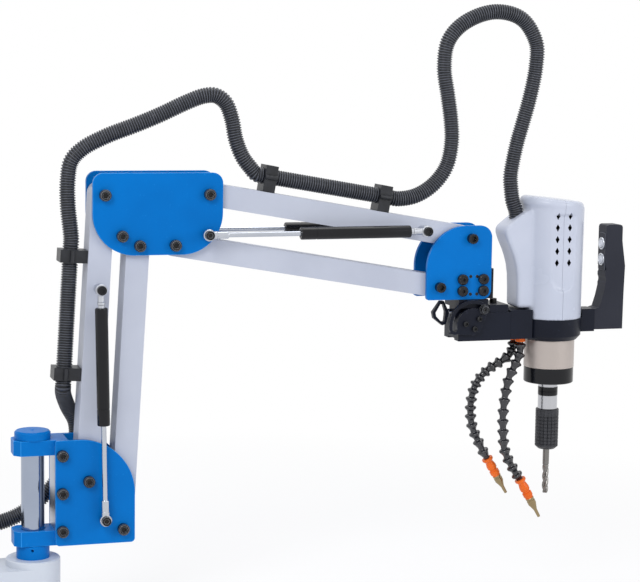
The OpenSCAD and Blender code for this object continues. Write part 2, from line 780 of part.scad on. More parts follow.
// Shoulder plate with its large corner towards the arms
module shoulder_plate(y0) {
    color("dodgerblue") in_xz(y0, y0 + plate_t) difference() {
        rounded_plate(shoulder_x0, shoulder_x0 + shoulder_len, shoulder_z0, shoulder_z1,
            3, shoulder_big_r, shoulder_small_r, shoulder_small_r);
        holes(concat(spine_bolts(), [piv_a, piv_b]), screw_r + screw_fit);
        holes([shoulder_stud], stud_r + screw_fit);
    }
}

module shoulder_plate_front() {
    shoulder_plate(-plate_out);
}

module shoulder_plate_rear() {
    shoulder_plate(plate_in);
}

// Spine screws, the two pivot pins and the lower springs' studs
module shoulder_fasteners() {
    color("dimgray") {
        for (side = [-1, 1]) {
            for (p = spine_bolts())
                plate_screw(p, side, screw_r, screw_head_r, screw_head_h, plate_t + 18);
            plate_stud(shoulder_stud, side);
        }
        pivot(piv_a);
        pivot(piv_b);
    }
}

// A gas spring's stud screwed through a side plate
module plate_stud(p, side) {
    spring_stud(p, side, plate_out);
    rod_y(p, stud_r, side < 0 ? -plate_out - eps : plate_in, side < 0 ? -plate_in : plate_out + eps);
}

// ---- Lower arm ----

module lower_link_a() {
    color("gainsboro") difference() {
        link(piv_a, 90 - lower_lean);
        rod_y(link_a_stud, stud_r, -plate_out, plate_out);
    }
}

module lower_link_b() {
    color("gainsboro") link(piv_b, 90 - lower_lean);
}

// Through stud that carries both lower springs on their link
module link_a_studs() {
    color("dimgray") {
        rod_y(link_a_stud, stud_r, -link_depth / 2 - eps, link_depth / 2 + eps);
        for (side = [-1, 1]) spring_stud(link_a_stud, side, link_depth / 2);
    }
}

module lower_clips() {
    color("dimgray") for (s = lower_clip_s) on_link(piv_a, 90 - lower_lean, s) conduit_clip();
}

// Distance between a spring's two studs
lower_spring_len = norm(link_a_stud - shoulder_stud);
upper_spring_len = norm(link_c_stud - elbow_stud);
rod_tip_gap = 62;

module lower_spring_cylinders() {
    color("dimgray") toward(link_a_stud, shoulder_stud) spring_cylinder();
}

module lower_spring_rods() {
    color("silver") toward(shoulder_stud, link_a_stud)
        spring_rod(lower_spring_len - cylinder_neck - rod_tip_gap);
}

// ---- Elbow ----

// Elbow plate: straight above, with large round corners below
module elbow_plate(y0) {
    z1 = piv_c[1] + elbow_top_margin;
    color("dodgerblue") in_xz(y0, y0 + plate_t) difference() {
        rounded_plate(piv_a2[0] - elbow_left_margin, piv_c[0] + elbow_right_margin,
            z1 - elbow_h, z1, elbow_small_r, elbow_small_r, elbow_big_r, elbow_big_r);
        holes([piv_a2, piv_b2, piv_c, piv_d], screw_r + screw_fit);
        holes([elbow_stop], stop_r + screw_fit);
        holes([elbow_stud], stud_r + screw_fit);
    }
}

module elbow_plate_front() {
    elbow_plate(-plate_out);
}

module elbow_plate_rear() {
    elbow_plate(plate_in);
}

// Four pivot pins, the stop bolt between the lower links and the upper springs' studs
module elbow_fasteners() {
    color("dimgray") {
        for (p = [piv_a2, piv_b2, piv_c, piv_d]) pivot(p);
        rod_y(elbow_stop, stop_r, -plate_out, plate_out);
        for (side = [-1, 1]) {
            plate_screw(elbow_stop, side, stop_r, screw_head_r, screw_head_h, eps);
            plate_stud(elbow_stud, side);
        }
    }
}

module upper_spring_cylinders() {
    color("dimgray") toward(link_c_stud, elbow_stud) spring_cylinder();
}

module upper_spring_rods() {
    color("silver") toward(elbow_stud, link_c_stud)
        spring_rod(upper_spring_len - cylinder_neck - rod_tip_gap);
}

// ---- Upper arm ----

module upper_link_c() {
    color("gainsboro") difference() {
        link(piv_c, -upper_droop);
        rod_y(link_c_stud, stud_r, -plate_out, plate_out);
    }
}

module upper_link_d() {
    color("gainsboro") link(piv_d, -upper_droop);
}

// Through stud that carries both upper springs on their link
module link_c_studs() {
    color("dimgray") {
        rod_y(link_c_stud, stud_r, -link_depth / 2 - eps, link_depth / 2 + eps);
        for (side = [-1, 1]) spring_stud(link_c_stud, side, link_depth / 2);
    }
}

module upper_clips() {
    color("dimgray") for (s = upper_clip_s) on_link(piv_c, -upper_droop, s) conduit_clip();
}

// ---- Wrist ----

function wrist_block_bolts() = [for (x = [-19.5, 20.5]) for (z = [15.5, 36.5])
    [swivel_x + x, block_z0 + z]];
function wrist_set_screws() = [for (x = [-3.5, 9]) for (z = [9.5, 41.5])
    [swivel_x + x, block_z0 + z]];

// Wrist plate with its large corner towards the arms
module wrist_plate(y0) {
    color("dodgerblue") in_xz(y0, y0 + plate_t) difference() {
        rounded_plate(wrist_x0, wrist_x1, wrist_z0, wrist_z1, wrist_big_r, wrist_small_r, 16, 5);
        holes([piv_c2, piv_d2], screw_r + screw_fit);
        holes(wrist_block_bolts(), screw_m_r + screw_fit);
        holes(wrist_set_screws(), 3);
    }
}

module wrist_plate_front() {
    wrist_plate(-plate_out);
}

module wrist_plate_rear() {
    wrist_plate(plate_in);
}

// Two pivot pins, the block's screws and its set screws
module wrist_fasteners() {
    color("dimgray") {
        for (p = [piv_c2, piv_d2]) pivot(p);
        for (side = [-1, 1]) {
            for (p = wrist_block_bolts())
                plate_screw(p, side, screw_m_r, screw_m_head_r, screw_m_head_h, plate_t + 10);
            for (p = wrist_set_screws())
                plate_screw(p, side, 2.9, 2.9, 1, plate_t);
        }
    }
}

// Block between the wrist plates, bored for the swivel journal
module wrist_block() {
    color("#222428") difference() {
        translate([swivel_x - wrist_block_left, -plate_in, block_z0])
            cube([wrist_block_left + wrist_block_right, 2 * plate_in, wrist_block_h]);
        translate([swivel_x, 0, block_z0 - 1])
            cylinder(r = swivel_r + run_fit, h = swivel_len + 2);
        for (p = wrist_block_bolts()) rod_y(p, screw_m_r, -plate_out, plate_out);
    }
}

// ---- Swivel bracket (turns about the vertical journal) ----

module swivel_bracket() {
    color("#222428") difference() {
        union() {
            translate([swivel_x - bar_left, -plate_out, bracket_z0])
                cube([bar_left + tilt_stop_x - 4, 2 * plate_out, bracket_t]);
            translate([swivel_x, 0, bracket_z1 - eps]) cylinder(r = swivel_r, h = swivel_len);
            translate([swivel_x - tongue_r, -tongue_t / 2, tilt_z])
                cube([2 * tongue_r, tongue_t, bracket_z0 - tilt_z + eps]);
            rod_y([swivel_x, tilt_z], tongue_r, -tongue_t / 2, tongue_t / 2);
            translate([swivel_x - bar_left, -tongue_t / 2, tilt_z - tongue_r - 2])
                cube([bar_left, tongue_t, tongue_r + 8]);
            rod_y(clamp_at, clamp_ear_r, -plate_out, -tongue_t / 2 + eps);
            translate([clamp_at[0] - clamp_ear_r, -plate_out, clamp_at[1]])
                cube([2 * clamp_ear_r, plate_out - tongue_t / 2 + eps,
                    bracket_z0 - clamp_at[1] + eps]);
        }
        rod_y([swivel_x, tilt_z], tilt_pin_r + run_fit, -plate_out, plate_out);
        rod_y(clamp_at, screw_m_r, -plate_out - 1, -tongue_t / 2);
        translate([swivel_x - tongue_r - 1, 0, plunger_z]) rotate([0, 90, 0])
            cylinder(r = plunger_r, h = 12);
    }
}

// Clamp screw and washer in the sector plate's slot
clamp_y = -plate_out - side_gap - sector_t;
module clamp_screw() {
    color("dimgray") translate([clamp_at[0], clamp_y - side_gap, clamp_at[1]])
        rotate([90, 0, 0]) {
            translate([0, 0, 1.6]) cap_screw(screw_m_r, screw_m_head_r + 0.5, screw_m_head_h,
                1.6 + 2 * side_gap + sector_t + 18);
            difference() {
                cylinder(r = 9, h = 1.6);
                translate([0, 0, -1]) cylinder(r = screw_m_r - eps, h = 4);
            }
        }
}

// Locking pin's guide, screwed into the left side of the bracket's tongue
plunger_z = tilt_z + 18;
plunger_r = 5;
guide_len = 9;
module plunger_body() {
    color("silver") translate([swivel_x - tongue_r - guide_len, 0, plunger_z])
        rotate([0, 90, 0]) difference() {
            union() {
                cylinder(r = plunger_r + 3, h = guide_len - 0.01);
                cylinder(r = plunger_r, h = guide_len + 8);
            }
            translate([0, 0, -1]) cylinder(r = 3 + run_fit, h = guide_len + 12);
        }
}

// Loop handle with its pin: the loop is an open diamond that a finger pulls
loop_bar = 6;
module loop_handle() {
    x1 = swivel_x - tongue_r - guide_len - 1;
    mid = [x1 - 14, plunger_z];
    loop = [[11.5, 4.5], [5, 20], [-1, 20], [-13, 2], [-11, -7], [3, -19], [9, -17], [11.5, -4.5]];
    color("#222428") {
        translate([x1 - 4, 0, plunger_z]) rotate([0, 90, 0]) cylinder(r = 3, h = guide_len + 9);
        in_xz(-5, 5) translate(mid) difference() {
            polygon([for (p = loop) p * (1 + loop_bar / 2 / norm(p))]);
            polygon([for (p = loop) p * (1 - loop_bar / 2 / norm(p))]);
        }
    }
}

// ---- Head (tilts about the tilt pin) ----

// Bar with its fork round the bracket's tongue and the rest block on top
module head_bar() {
    x0 = swivel_x - bar_left;
    fork = tongue_t / 2 + side_gap;
    color("#222428") difference() {
        union() {
            in_xz(-plate_out, plate_out)
                rounded_plate(x0, bar_x1, bar_z0, bar_z1, bar_up, 1, 1, 1);
            translate([swivel_x + tilt_stop_x, -plate_out + 2, bar_z1 - eps])
                cube([37, 2 * plate_out - 4, rest_block_h]);
        }
        translate([x0 - 1, -fork, bar_z0 - 1])
            cube([bar_left + tongue_r + 4, 2 * fork, bar_down + bar_up + rest_block_h]);
        rod_y([swivel_x, tilt_z], tilt_pin_r, pin_y0, plate_out + 1);
        for (p = sector_bolts()) rod_y(p, 3, -plate_out - 1, -plate_out + sector_grip);
        translate([swivel_x + 56, 0, bar_z1]) cylinder(r = screw_m_r, h = rest_block_h + 1);
    }
}

// Pin in a blind hole, which starts past the ends of the sector plate's screws
sector_grip = 12;
pin_y0 = sector_grip + 1 - plate_out;
module tilt_pin() {
    color("dimgray") rod_y([swivel_x, tilt_z], tilt_pin_r, pin_y0, plate_out - 1);
}

function sector_bolts() = [for (p = [[-15, 3.5], [11, 12], [2.5, -6]])
    [swivel_x, tilt_z] + p];

// A wedge of a circle between two angles
module wedge(r, a0, a1) {
    intersection() {
        circle(r, $fn = 96);
        polygon(concat([[0, 0]],
            [for (i = [0:6]) 2 * r * [cos(a0 + (a1 - a0) * i / 6), sin(a0 + (a1 - a0) * i / 6)]]));
    }
}

// Slotted sector that the clamp screw grips
module sector_plate() {
    lobe = sector_r - slot_r - 0.6;
    inner = slot_r - slot_half;
    color("#222428") in_xz(clamp_y, clamp_y + sector_t) translate([swivel_x, tilt_z]) difference() {
        union() {
            wedge(sector_r, clamp_angle, slot_end_angle);
            for (a = [clamp_angle, slot_end_angle])
                translate(slot_r * [cos(a), sin(a)]) circle(lobe);
            circle(17);
            polygon([[-3, -16.7], [17, 0], [26, 18], [0, 20], [-45, -14], [-38, -15]]);
        }
        difference() {
            wedge(slot_r + slot_half, clamp_angle, slot_end_angle);
            circle(inner);
        }
        for (a = [clamp_angle, slot_end_angle])
            translate(slot_r * [cos(a), sin(a)]) circle(slot_half - 0.1);
        translate([-swivel_x, -tilt_z]) holes(sector_bolts(), 3 + screw_fit);
    }
    color("#222428") in_xz(clamp_y + sector_t, -plate_out) translate([swivel_x, tilt_z])
        difference() {
            circle(16);
            translate([-swivel_x, -tilt_z]) holes(sector_bolts(), 3 + screw_fit);
        }
}

// Screws of the sector plate and the rest block
module head_screws() {
    color("dimgray") {
        for (p = sector_bolts()) translate([p[0], clamp_y, p[1]]) rotate([90, 0, 0])
            cap_screw(3, 5, 6, sector_t + side_gap + sector_grip);
        translate([swivel_x + 56, 0, bar_z1 + rest_block_h])
            cap_screw(screw_m_r, screw_m_head_r, screw_m_head_h, rest_block_h);
    }
}

// Bracket that clamps the motor: a block on the bar's end and a ring under the cover
module motor_bracket() {
    color("#222428") difference() {
        union() {
            translate([bar_x1, -plate_out, bar_z0 + 1])
                cube([tool_x - bar_x1, 2 * plate_out, bar_up + bar_down + 2]);
            translate([tool_x, 0, ring_z0]) cylinder(r = ring_r, h = ring_h, $fn = 96);
            translate([tool_x, 0, reducer_z1])
                cylinder(r1 = reducer_r + 3, r2 = ring_r, h = ring_taper_h, $fn = 96);
        }
        translate([tool_x, 0, ring_z1]) cylinder(r = ring_r + 1.5, h = 60, $fn = 96);
        translate([tool_x, 0, reducer_z1 - 60]) cylinder(r = ring_r + 1.5, h = 60, $fn = 96);
        translate([tool_x, 0, reducer_z1 - 1]) cylinder(r = motor_neck_r, h = ring_h + 20);
        translate([tool_x, 0, ring_z1 - 6]) cylinder(r = motor_r + 0.5, h = 10);
        bracket_corners();
        for (p = hose_roots()) translate([p[0], p[1], bar_z0 - 1]) cylinder(r = 5, h = 16);
    }
}

function hose_roots() = [[hose_rear_path[0][0], hose_rear_y],
    [hose_front_path[0][0], hose_front_y]];

// What the block leaves free beside the ring
module bracket_corners() {
    for (side = [-1, 1]) translate([bracket_x1, side * plate_out, 0]) difference() {
        translate([0, side < 0 ? -1 : -40, 0]) cube([80, 41, 2 * tilt_z]);
        translate([tool_x - bracket_x1, -side * plate_out, -1])
            cylinder(r = ring_r, h = 2 * tilt_z + 2, $fn = 96);
    }
}

// Profile of the cable housing, drawn in X and Z from the tool axis and the cover's foot
function cable_profile(inset) = let (h = cover_h, foot = cable_box_z0 - ring_z1 + inset)
    concat([[-20, foot], [-77.5 + inset, foot], [-78 + inset, h - 168], [-79 + inset, h - 141],
        [-82 + inset, h - 121], [-86 + inset, h - 107], [-91 + inset, h - 94],
        [-98 + inset, h - 79]],
        [for (a = [200:-20:120]) [-88, h - 60] + (16 - inset) * [cos(a), sin(a)]],
        [[-74, h - 29 - inset], [-44, h - 13 - inset], [-20, h - 13 - inset]]);

// Turns children to the slope of the cover's top, with the top at z = 0
module on_top() {
    translate([0, 0, cover_h]) rotate([0, cover_slope, 0]) children();
}

// Outside of the motor cover with its cable housing, or the room inside it
module cover_form(inset) {
    r = cover_r + cover_draft;
    difference() {
        cylinder(r1 = cover_r - inset, r2 = r - inset + 0.2, h = cover_h + 2 * lip_r, $fn = 96);
        on_top() translate([-2 * r, -2 * r, -lip_r]) cube([4 * r, 4 * r, 6 * lip_r]);
    }
    on_top() translate([-cover_lip, 0, -lip_r]) rotate_extrude($fn = 96) polygon(concat(
        [[0, inset - lip_r]], [for (a = [-90:15:90])
            [r + cover_lip - lip_r + (lip_r - inset) * cos(a), (lip_r - inset) * sin(a)]],
        [[0, lip_r - inset]]));
    in_xz(-cable_box_w / 2 + inset, cable_box_w / 2 - inset) polygon(cable_profile(inset));
}

// One half of the motor cover: side is -1 for the cable side and 1 for the grip side
panel_sink = 5;
module motor_cover(side) {
    flat_y = cover_r - panel_sink;
    color("lightsteelblue") translate([tool_x, 0, ring_z1]) difference() {
        cover_form(0);
        translate([0, 0, -1]) cylinder(r = cover_r - cover_wall, h = 20, $fn = 96);
        intersection() {
            cover_form(cover_wall);
            translate([-2 * cover_r, cover_wall - flat_y, -10])
                cube([4 * cover_r, 2 * (flat_y - cover_wall), 2 * cover_h]);
        }
        translate([side < 0 ? 0 : -2 * cover_r, -2 * cover_r, -10])
            cube([2 * cover_r, 4 * cover_r, 2 * cover_h]);
        for (ys = [-1, 1]) vents_and_flat(ys, flat_y);
        translate([conduit_drop[len(conduit_drop) - 1][0], 0, cover_h - 64])
            cylinder(r = conduit_r + 1.5, h = 48);
    }
}

// The flat panel with its round end and the rows of diamond vents, on one side of the cover
module vents_and_flat(ys, flat_y) {
    top_z = cover_h - 29;
    foot_z = cover_h - 142;
    in_xz(ys < 0 ? -flat_y - 12 : flat_y, ys < 0 ? -flat_y : flat_y + 12) {
        translate([-panel_half, foot_z]) square([2 * panel_half, 142 - 3 * lip_r]);
        translate([0, foot_z]) circle(panel_half - 0.1);
    }
    for (i = [0:4]) for (xs = [-1, 1]) in_xz(ys < 0 ? -flat_y - 5 : 20, ys < 0 ? -20 : flat_y + 5)
        translate([xs * vent_dx, top_z - i * vent_pitch])
            polygon([[-vent_w / 2, 0], [0, -vent_h / 2], [vent_w / 2, 0], [0, vent_h / 2]]);
}

module motor_cover_left() {
    motor_cover(-1);
}

module motor_cover_right() {
    motor_cover(1);
}

// Motor inside the cover, seen dark through the vents
module servo_motor() {
    color("#303236") translate([tool_x, 0, ring_z1 - 6]) {
        cylinder(r = motor_r, h = motor_h);
        translate([0, 0, -ring_h - ring_taper_h + 6]) cylinder(r = motor_neck_r - 0.02, h = 40);
    }
}

module reducer() {
    color("#b0a89f") translate([tool_x, 0, reducer_z0]) difference() {
        union() {
            cylinder(r = reducer_r, h = reducer_h - 2, $fn = 96);
            translate([0, 0, reducer_h - 2])
                cylinder(r1 = reducer_r, r2 = reducer_r - 1, h = 2, $fn = 96);
        }
        translate([0, 0, -1]) cylinder(r = sleeve_shaft_r + 1, h = 31);
    }
}

module reducer_ring() {
    color("#1c1d20") translate([tool_x, 0, end_ring_z0]) difference() {
        union() {
            translate([0, 0, 1.5]) cylinder(r = reducer_r - 0.5, h = end_ring_h - 1.5, $fn = 96);
            cylinder(r1 = reducer_r - 2, r2 = reducer_r - 0.5, h = 1.5, $fn = 96);
        }
        translate([0, 0, -1]) cylinder(r = sleeve_r + 1, h = 7);
        translate([0, 0, -1]) cylinder(r = sleeve_shaft_r + run_fit, h = end_ring_h + 2);
    }
}

// ---- Spindle (spins about the tool axis) ----

// Chuck sleeve with a groove and the shaft that runs in the reducer
module chuck_sleeve() {
    color("silver") translate([tool_x, 0, sleeve_z0]) rotate_extrude() polygon([[0, 0],
        [sleeve_r - 1, 0], [sleeve_r, 1], [sleeve_r, 26], [sleeve_r - 1, 27], [sleeve_r - 1, 35],
        [sleeve_r, 36], [sleeve_r, sleeve_len + 5], [sleeve_shaft_r, sleeve_len + 5],
        [sleeve_shaft_r, sleeve_len + end_ring_h + 20], [0, sleeve_len + end_ring_h + 20]]);
}

// Knurled collet: ribs round it and a short cone below
module tap_collet() {
    ribs = 24;
    color("#2c2d30") translate([tool_x, 0, collet_z0]) difference() {
        union() {
            translate([0, 0, 5]) cylinder(r = collet_r, h = collet_len - 5);
            cylinder(r1 = collet_r - 6, r2 = collet_r, h = 5);
        }
        for (i = [0:ribs - 1]) rotate([0, 0, i * 360 / ribs])
            translate([collet_r + 0.6, 0, 8]) rotate([0, 0, 45]) cube([1.6, 1.6, collet_len * 0.8]);
        for (z = [0.25, 0.5, 0.75]) translate([0, 0, collet_len * z]) difference() {
            cylinder(r = collet_r + 1, h = 2);
            translate([0, 0, -1]) cylinder(r = collet_r - 1.2, h = 4);
        }
        translate([0, 0, -1]) cylinder(d = tap_d, h = 41);
    }
}

// Machine tap: plain shank, thread with four flutes and a tapered lead
module tap() {
    thread_len = tap_len * 0.42;
    lead = tap_len * 0.08;
    color("silver") translate([tool_x, 0, tap_z0]) difference() {
        union() {
            cylinder(d1 = tap_d * 0.7, d2 = tap_d, h = lead);
            translate([0, 0, lead]) cylinder(d = tap_d, h = thread_len - lead);
            translate([0, 0, thread_len - eps]) cylinder(d = tap_d * 0.86, h = tap_len - thread_len);
            translate([0, 0, tap_len - 2]) cylinder(d = tap_d, h = 42);
        }
        for (a = [0:90:270]) rotate([0, 0, a]) translate([tap_d * 0.46, 0, -1])
            cylinder(r = tap_d * 0.2, h = thread_len + 4);
    }
}

// ---- Hand grip ----

// Block between the motor bracket's ring and the grip
module handle_block() {
    z1 = tilt_z + 21;
    color("#222428") difference() {
        translate([tool_x + ring_r - 8, -grip_w / 2 - 2, ring_z0 + 4])
            cube([handle_block_x1 - tool_x - ring_r + 8, grip_w + 4, z1 - ring_z0 - 4]);
        translate([tool_x, 0, 0]) cylinder(r = ring_r, h = 2 * tilt_z, $fn = 96);
        translate([tool_x, 0, ring_z1]) cylinder(r = ring_r + 2, h = 80, $fn = 96);
    }
}

// Outline of the grip in X and Z
function grip_outline() = [[handle_block_x1, grip_z0], [grip_x1 + 5, grip_z0],
    [grip_x1 + 5.5, grip_z0 + 60], [grip_x1 + 7, grip_z0 + 118], [grip_x1 + 3, grip_z0 + 145],
    [grip_x1, grip_z0 + 165], [grip_x1, grip_z1 - 5], [grip_x1 - 1.5, grip_z1 - 1.5],
    [grip_x1 - 5, grip_z1], [grip_x0 + 5, grip_z1], [grip_x0 + 1.5, grip_z1 - 1.5],
    [grip_x0, grip_z1 - 5], [grip_x0, grip_z1 - 84], [grip_x0 + 0.5, grip_z0 + 80],
    [grip_x0 - 4, grip_z0 + 60], [grip_x0 - 10, grip_z0 + 41], [handle_block_x1, grip_z0 + 38]];

// Hand grip with finger grooves and the buttons' bores
module hand_grip() {
    groove_r = 14;
    color("#3c3d44") difference() {
        in_xz(-grip_w / 2, grip_w / 2) polygon(grip_outline());
        for (z = [grip_z0 + 92, grip_z0 + 112])
            rod_y([grip_x0 - groove_r + 2, z], groove_r, -grip_w, grip_w);
        for (z = button_z) translate([grip_x0 - 1, 0, z]) rotate([0, 90, 0])
            cylinder(r = button_r + 0.5, h = 19);
        translate([grip_x0 - 1, -grip_w / 2 + 2, button_z[1] - 15]) difference() {
            cube([2, grip_w - 4, button_pitch + 30]);
            translate([0, 1.2, 1.2]) cube([3, grip_w - 6.4, button_pitch + 27.6]);
        }
    }
}

module button_bezels() {
    color("silver") for (z = button_z) translate([grip_x0 - bezel_t, 0, z]) rotate([0, 90, 0])
        difference() {
            union() {
                cylinder(r1 = bezel_r - 1, r2 = bezel_r, h = 1);
                translate([0, 0, 1]) cylinder(r = bezel_r, h = bezel_t - 1);
            }
            translate([0, 0, -1]) cylinder(r = button_r + run_fit, h = bezel_t + 2);
        }
}

// A push button: its cap in the bezel and a shoulder behind the grip's face
module button(z) {
    color("silver") translate([grip_x0 - bezel_t - button_travel + 1.5, 0, z])
        rotate([0, 90, 0]) cylinder(r = button_r, h = bezel_t + button_travel + 10);
}

module button_upper() {
    button(button_z[0]);
}

module button_lower() {
    button(button_z[1]);
}

// ---- Air hoses ----

// Orange fittings under the motor bracket and the nozzles at the hoses' ends
module hose_fittings() {
    color("darkorange") {
        for (p = hose_roots()) translate([p[0], p[1], bar_z0 + 1]) difference() {
            union() {
                translate([0, 0, -7]) cylinder(r = 9.5, h = 7);
                cylinder(r = 5, h = 10);
            }
            translate([0, 0, -8]) cylinder(r = hose_bore_r - 1, h = 24);
        }
        nozzle(hose_rear_path, hose_rear_y);
        nozzle(hose_front_path, hose_front_y);
    }
}

module hose_rear() {
    color("#303236") hose(hose_rear_path, hose_rear_y, len(hose_rear_path) - 2);
}

module hose_front() {
    color("#303236") hose(hose_front_path, hose_front_y, len(hose_front_path) - 2);
}

// ---- Cable conduit ----

function on_lower(s) = let (p = piv_a + s * lower_dir + conduit_off * lower_side)
    [p[0], 0, p[1]];
function on_upper(s) = let (p = piv_c + s * upper_dir + conduit_off * upper_side)
    [p[0], 0, p[1]];
clip_past = clip_len / 2 + 4;
conduit_sides = 10;

// Points given as [x, z] steps from the point p, in the arms' middle plane
function steps_from(p, steps) = [for (d = steps) [p[0] + d[0], 0, p[1] + d[1]]];

module conduit_lower() {
    foot = [for (z = [8, 30]) [gland_at[0], gland_at[1], body_top + z]];
    s1 = lower_clip_s[0] - clip_past;
    color("#303236") sweep_tube(concat(foot, [for (p = conduit_rise) p + [0, 0, boss_top]],
        [on_lower(s1 - conduit_lead / 2), on_lower(s1)]), conduit_r, conduit_sides);
}

module conduit_link_a() {
    color("#303236") sweep_tube([on_lower(lower_clip_s[0] - clip_past + side_gap),
        on_lower(lower_clip_s[1] + clip_past - side_gap)], conduit_r, conduit_sides);
}

module conduit_elbow() {
    s0 = lower_clip_s[1] + clip_past;
    s1 = upper_clip_s[0] - clip_past;
    color("#303236") sweep_tube(concat([on_lower(s0), on_lower(s0 + conduit_lead)],
        steps_from(piv_a2, conduit_bow), [on_upper(s1 - conduit_lead / 2), on_upper(s1)]),
        conduit_r, conduit_sides);
}

module conduit_link_c() {
    color("#303236") sweep_tube([on_upper(upper_clip_s[0] - clip_past + side_gap),
        on_upper(upper_clip_s[1] + clip_past - side_gap)], conduit_r, conduit_sides);
}

module conduit_head() {
    s0 = upper_clip_s[1] + clip_past;
    color("#303236") sweep_tube(concat([on_upper(s0), on_upper(s0 + conduit_lead)],
        steps_from(piv_c2, conduit_loop), steps_from([tool_x, ring_z1], conduit_drop)),
        conduit_r, conduit_sides);
}

base_casting();
conduit_gland();
column_shaft();
column_collar();
column_cap();
cap_bolt();
bearing_blocks();
turret_spine();
shoulder_plate_front();
shoulder_plate_rear();
shoulder_fasteners();
lower_link_a();
link_a_studs();
lower_clips();
lower_link_b();
elbow_plate_front();
elbow_plate_rear();
elbow_fasteners();
lower_spring_cylinders();
lower_spring_rods();
upper_spring_cylinders();
upper_spring_rods();
upper_link_c();
link_c_studs();
upper_clips();
upper_link_d();
wrist_plate_front();
wrist_plate_rear();
wrist_fasteners();
wrist_block();
swivel_bracket();
clamp_screw();
plunger_body();
loop_handle();
head_bar();
tilt_pin();
sector_plate();
head_screws();
motor_bracket();
motor_cover_left();
motor_cover_right();
servo_motor();
reducer();
reducer_ring();
chuck_sleeve();
tap_collet();
tap();
handle_block();
hand_grip();
button_bezels();
button_upper();
button_lower();
hose_fittings();
hose_rear();
hose_front();
conduit_lower();
conduit_link_a();
conduit_elbow();
conduit_link_c();
conduit_head();
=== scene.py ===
import json
from math import cos, pi, radians, sin
import bmesh
import bpy
from mathutils import Matrix, Vector

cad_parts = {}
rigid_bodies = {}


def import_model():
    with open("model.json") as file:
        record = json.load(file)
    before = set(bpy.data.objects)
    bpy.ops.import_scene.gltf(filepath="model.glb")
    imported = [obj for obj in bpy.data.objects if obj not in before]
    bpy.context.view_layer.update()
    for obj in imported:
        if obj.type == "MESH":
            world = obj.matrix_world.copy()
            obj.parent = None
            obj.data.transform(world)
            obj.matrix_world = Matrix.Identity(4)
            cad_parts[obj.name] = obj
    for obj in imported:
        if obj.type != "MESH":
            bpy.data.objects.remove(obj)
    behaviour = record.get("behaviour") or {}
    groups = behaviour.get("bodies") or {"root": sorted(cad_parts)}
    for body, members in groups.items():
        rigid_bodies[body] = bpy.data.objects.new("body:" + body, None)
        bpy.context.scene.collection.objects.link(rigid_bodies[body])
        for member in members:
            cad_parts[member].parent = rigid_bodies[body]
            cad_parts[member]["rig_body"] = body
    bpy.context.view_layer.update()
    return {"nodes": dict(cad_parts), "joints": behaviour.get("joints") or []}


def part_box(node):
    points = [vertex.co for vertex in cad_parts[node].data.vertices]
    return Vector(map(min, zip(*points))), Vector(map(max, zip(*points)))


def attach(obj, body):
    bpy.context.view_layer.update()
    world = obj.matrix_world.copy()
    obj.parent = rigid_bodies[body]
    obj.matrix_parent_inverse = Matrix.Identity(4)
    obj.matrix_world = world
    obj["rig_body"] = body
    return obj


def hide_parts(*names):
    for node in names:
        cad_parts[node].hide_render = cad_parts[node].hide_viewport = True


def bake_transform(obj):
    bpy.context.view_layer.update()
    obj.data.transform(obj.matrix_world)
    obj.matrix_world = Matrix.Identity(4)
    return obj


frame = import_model()
nodes = frame["nodes"]
pivot = {j["name"]: Vector(j["pos_m"]) for j in frame["joints"] if "pos_m" in j}
MM = 0.001

# Places that the pieces share, from the joints of the machine
SHOULDER = pivot["lower_arm"]
ELBOW = pivot["elbow_level"]
ARM_ROOT = pivot["upper_arm"]
WRIST = pivot["wrist_level"]
SWIVEL_X = pivot["head_swivel"].x
TILT_Z = pivot["head_tilt"].z
TOOL_X = pivot["spindle_spin"].x
COVER_FOOT = TILT_Z + 6 * MM
BAR_FOOT = TILT_Z - 29.7 * MM
PIVOT_STEP = Vector((60, 0, -87)) * MM
PLATE_OUT = 36 * MM


# ---- Shader kit ----

def rgb(code):
    """Linear colour of a screen colour written as six hex digits."""
    parts = [int(code[i:i + 2], 16) / 255 for i in (0, 2, 4)]
    return [c / 12.92 if c <= 0.04045 else ((c + 0.055) / 1.055) ** 2.4 for c in parts] + [1.0]


class Wire:
    """A shader socket that takes part in Python arithmetic."""

    def __init__(self, finish, socket):
        self.finish, self.socket = finish, socket

    def math(self, operation, *values):
        return self.finish.node("ShaderNodeMath", {"operation": operation}, dict(enumerate(values)))

    def __add__(self, other):
        return self.math("ADD", self, other)

    def __sub__(self, other):
        return self.math("SUBTRACT", self, other)

    def __mul__(self, other):
        return self.math("MULTIPLY", self, other)

    def __pow__(self, other):
        return self.math("POWER", self, other)

    def __abs__(self):
        return self.math("ABSOLUTE", self)

    __radd__, __rmul__ = __add__, __mul__


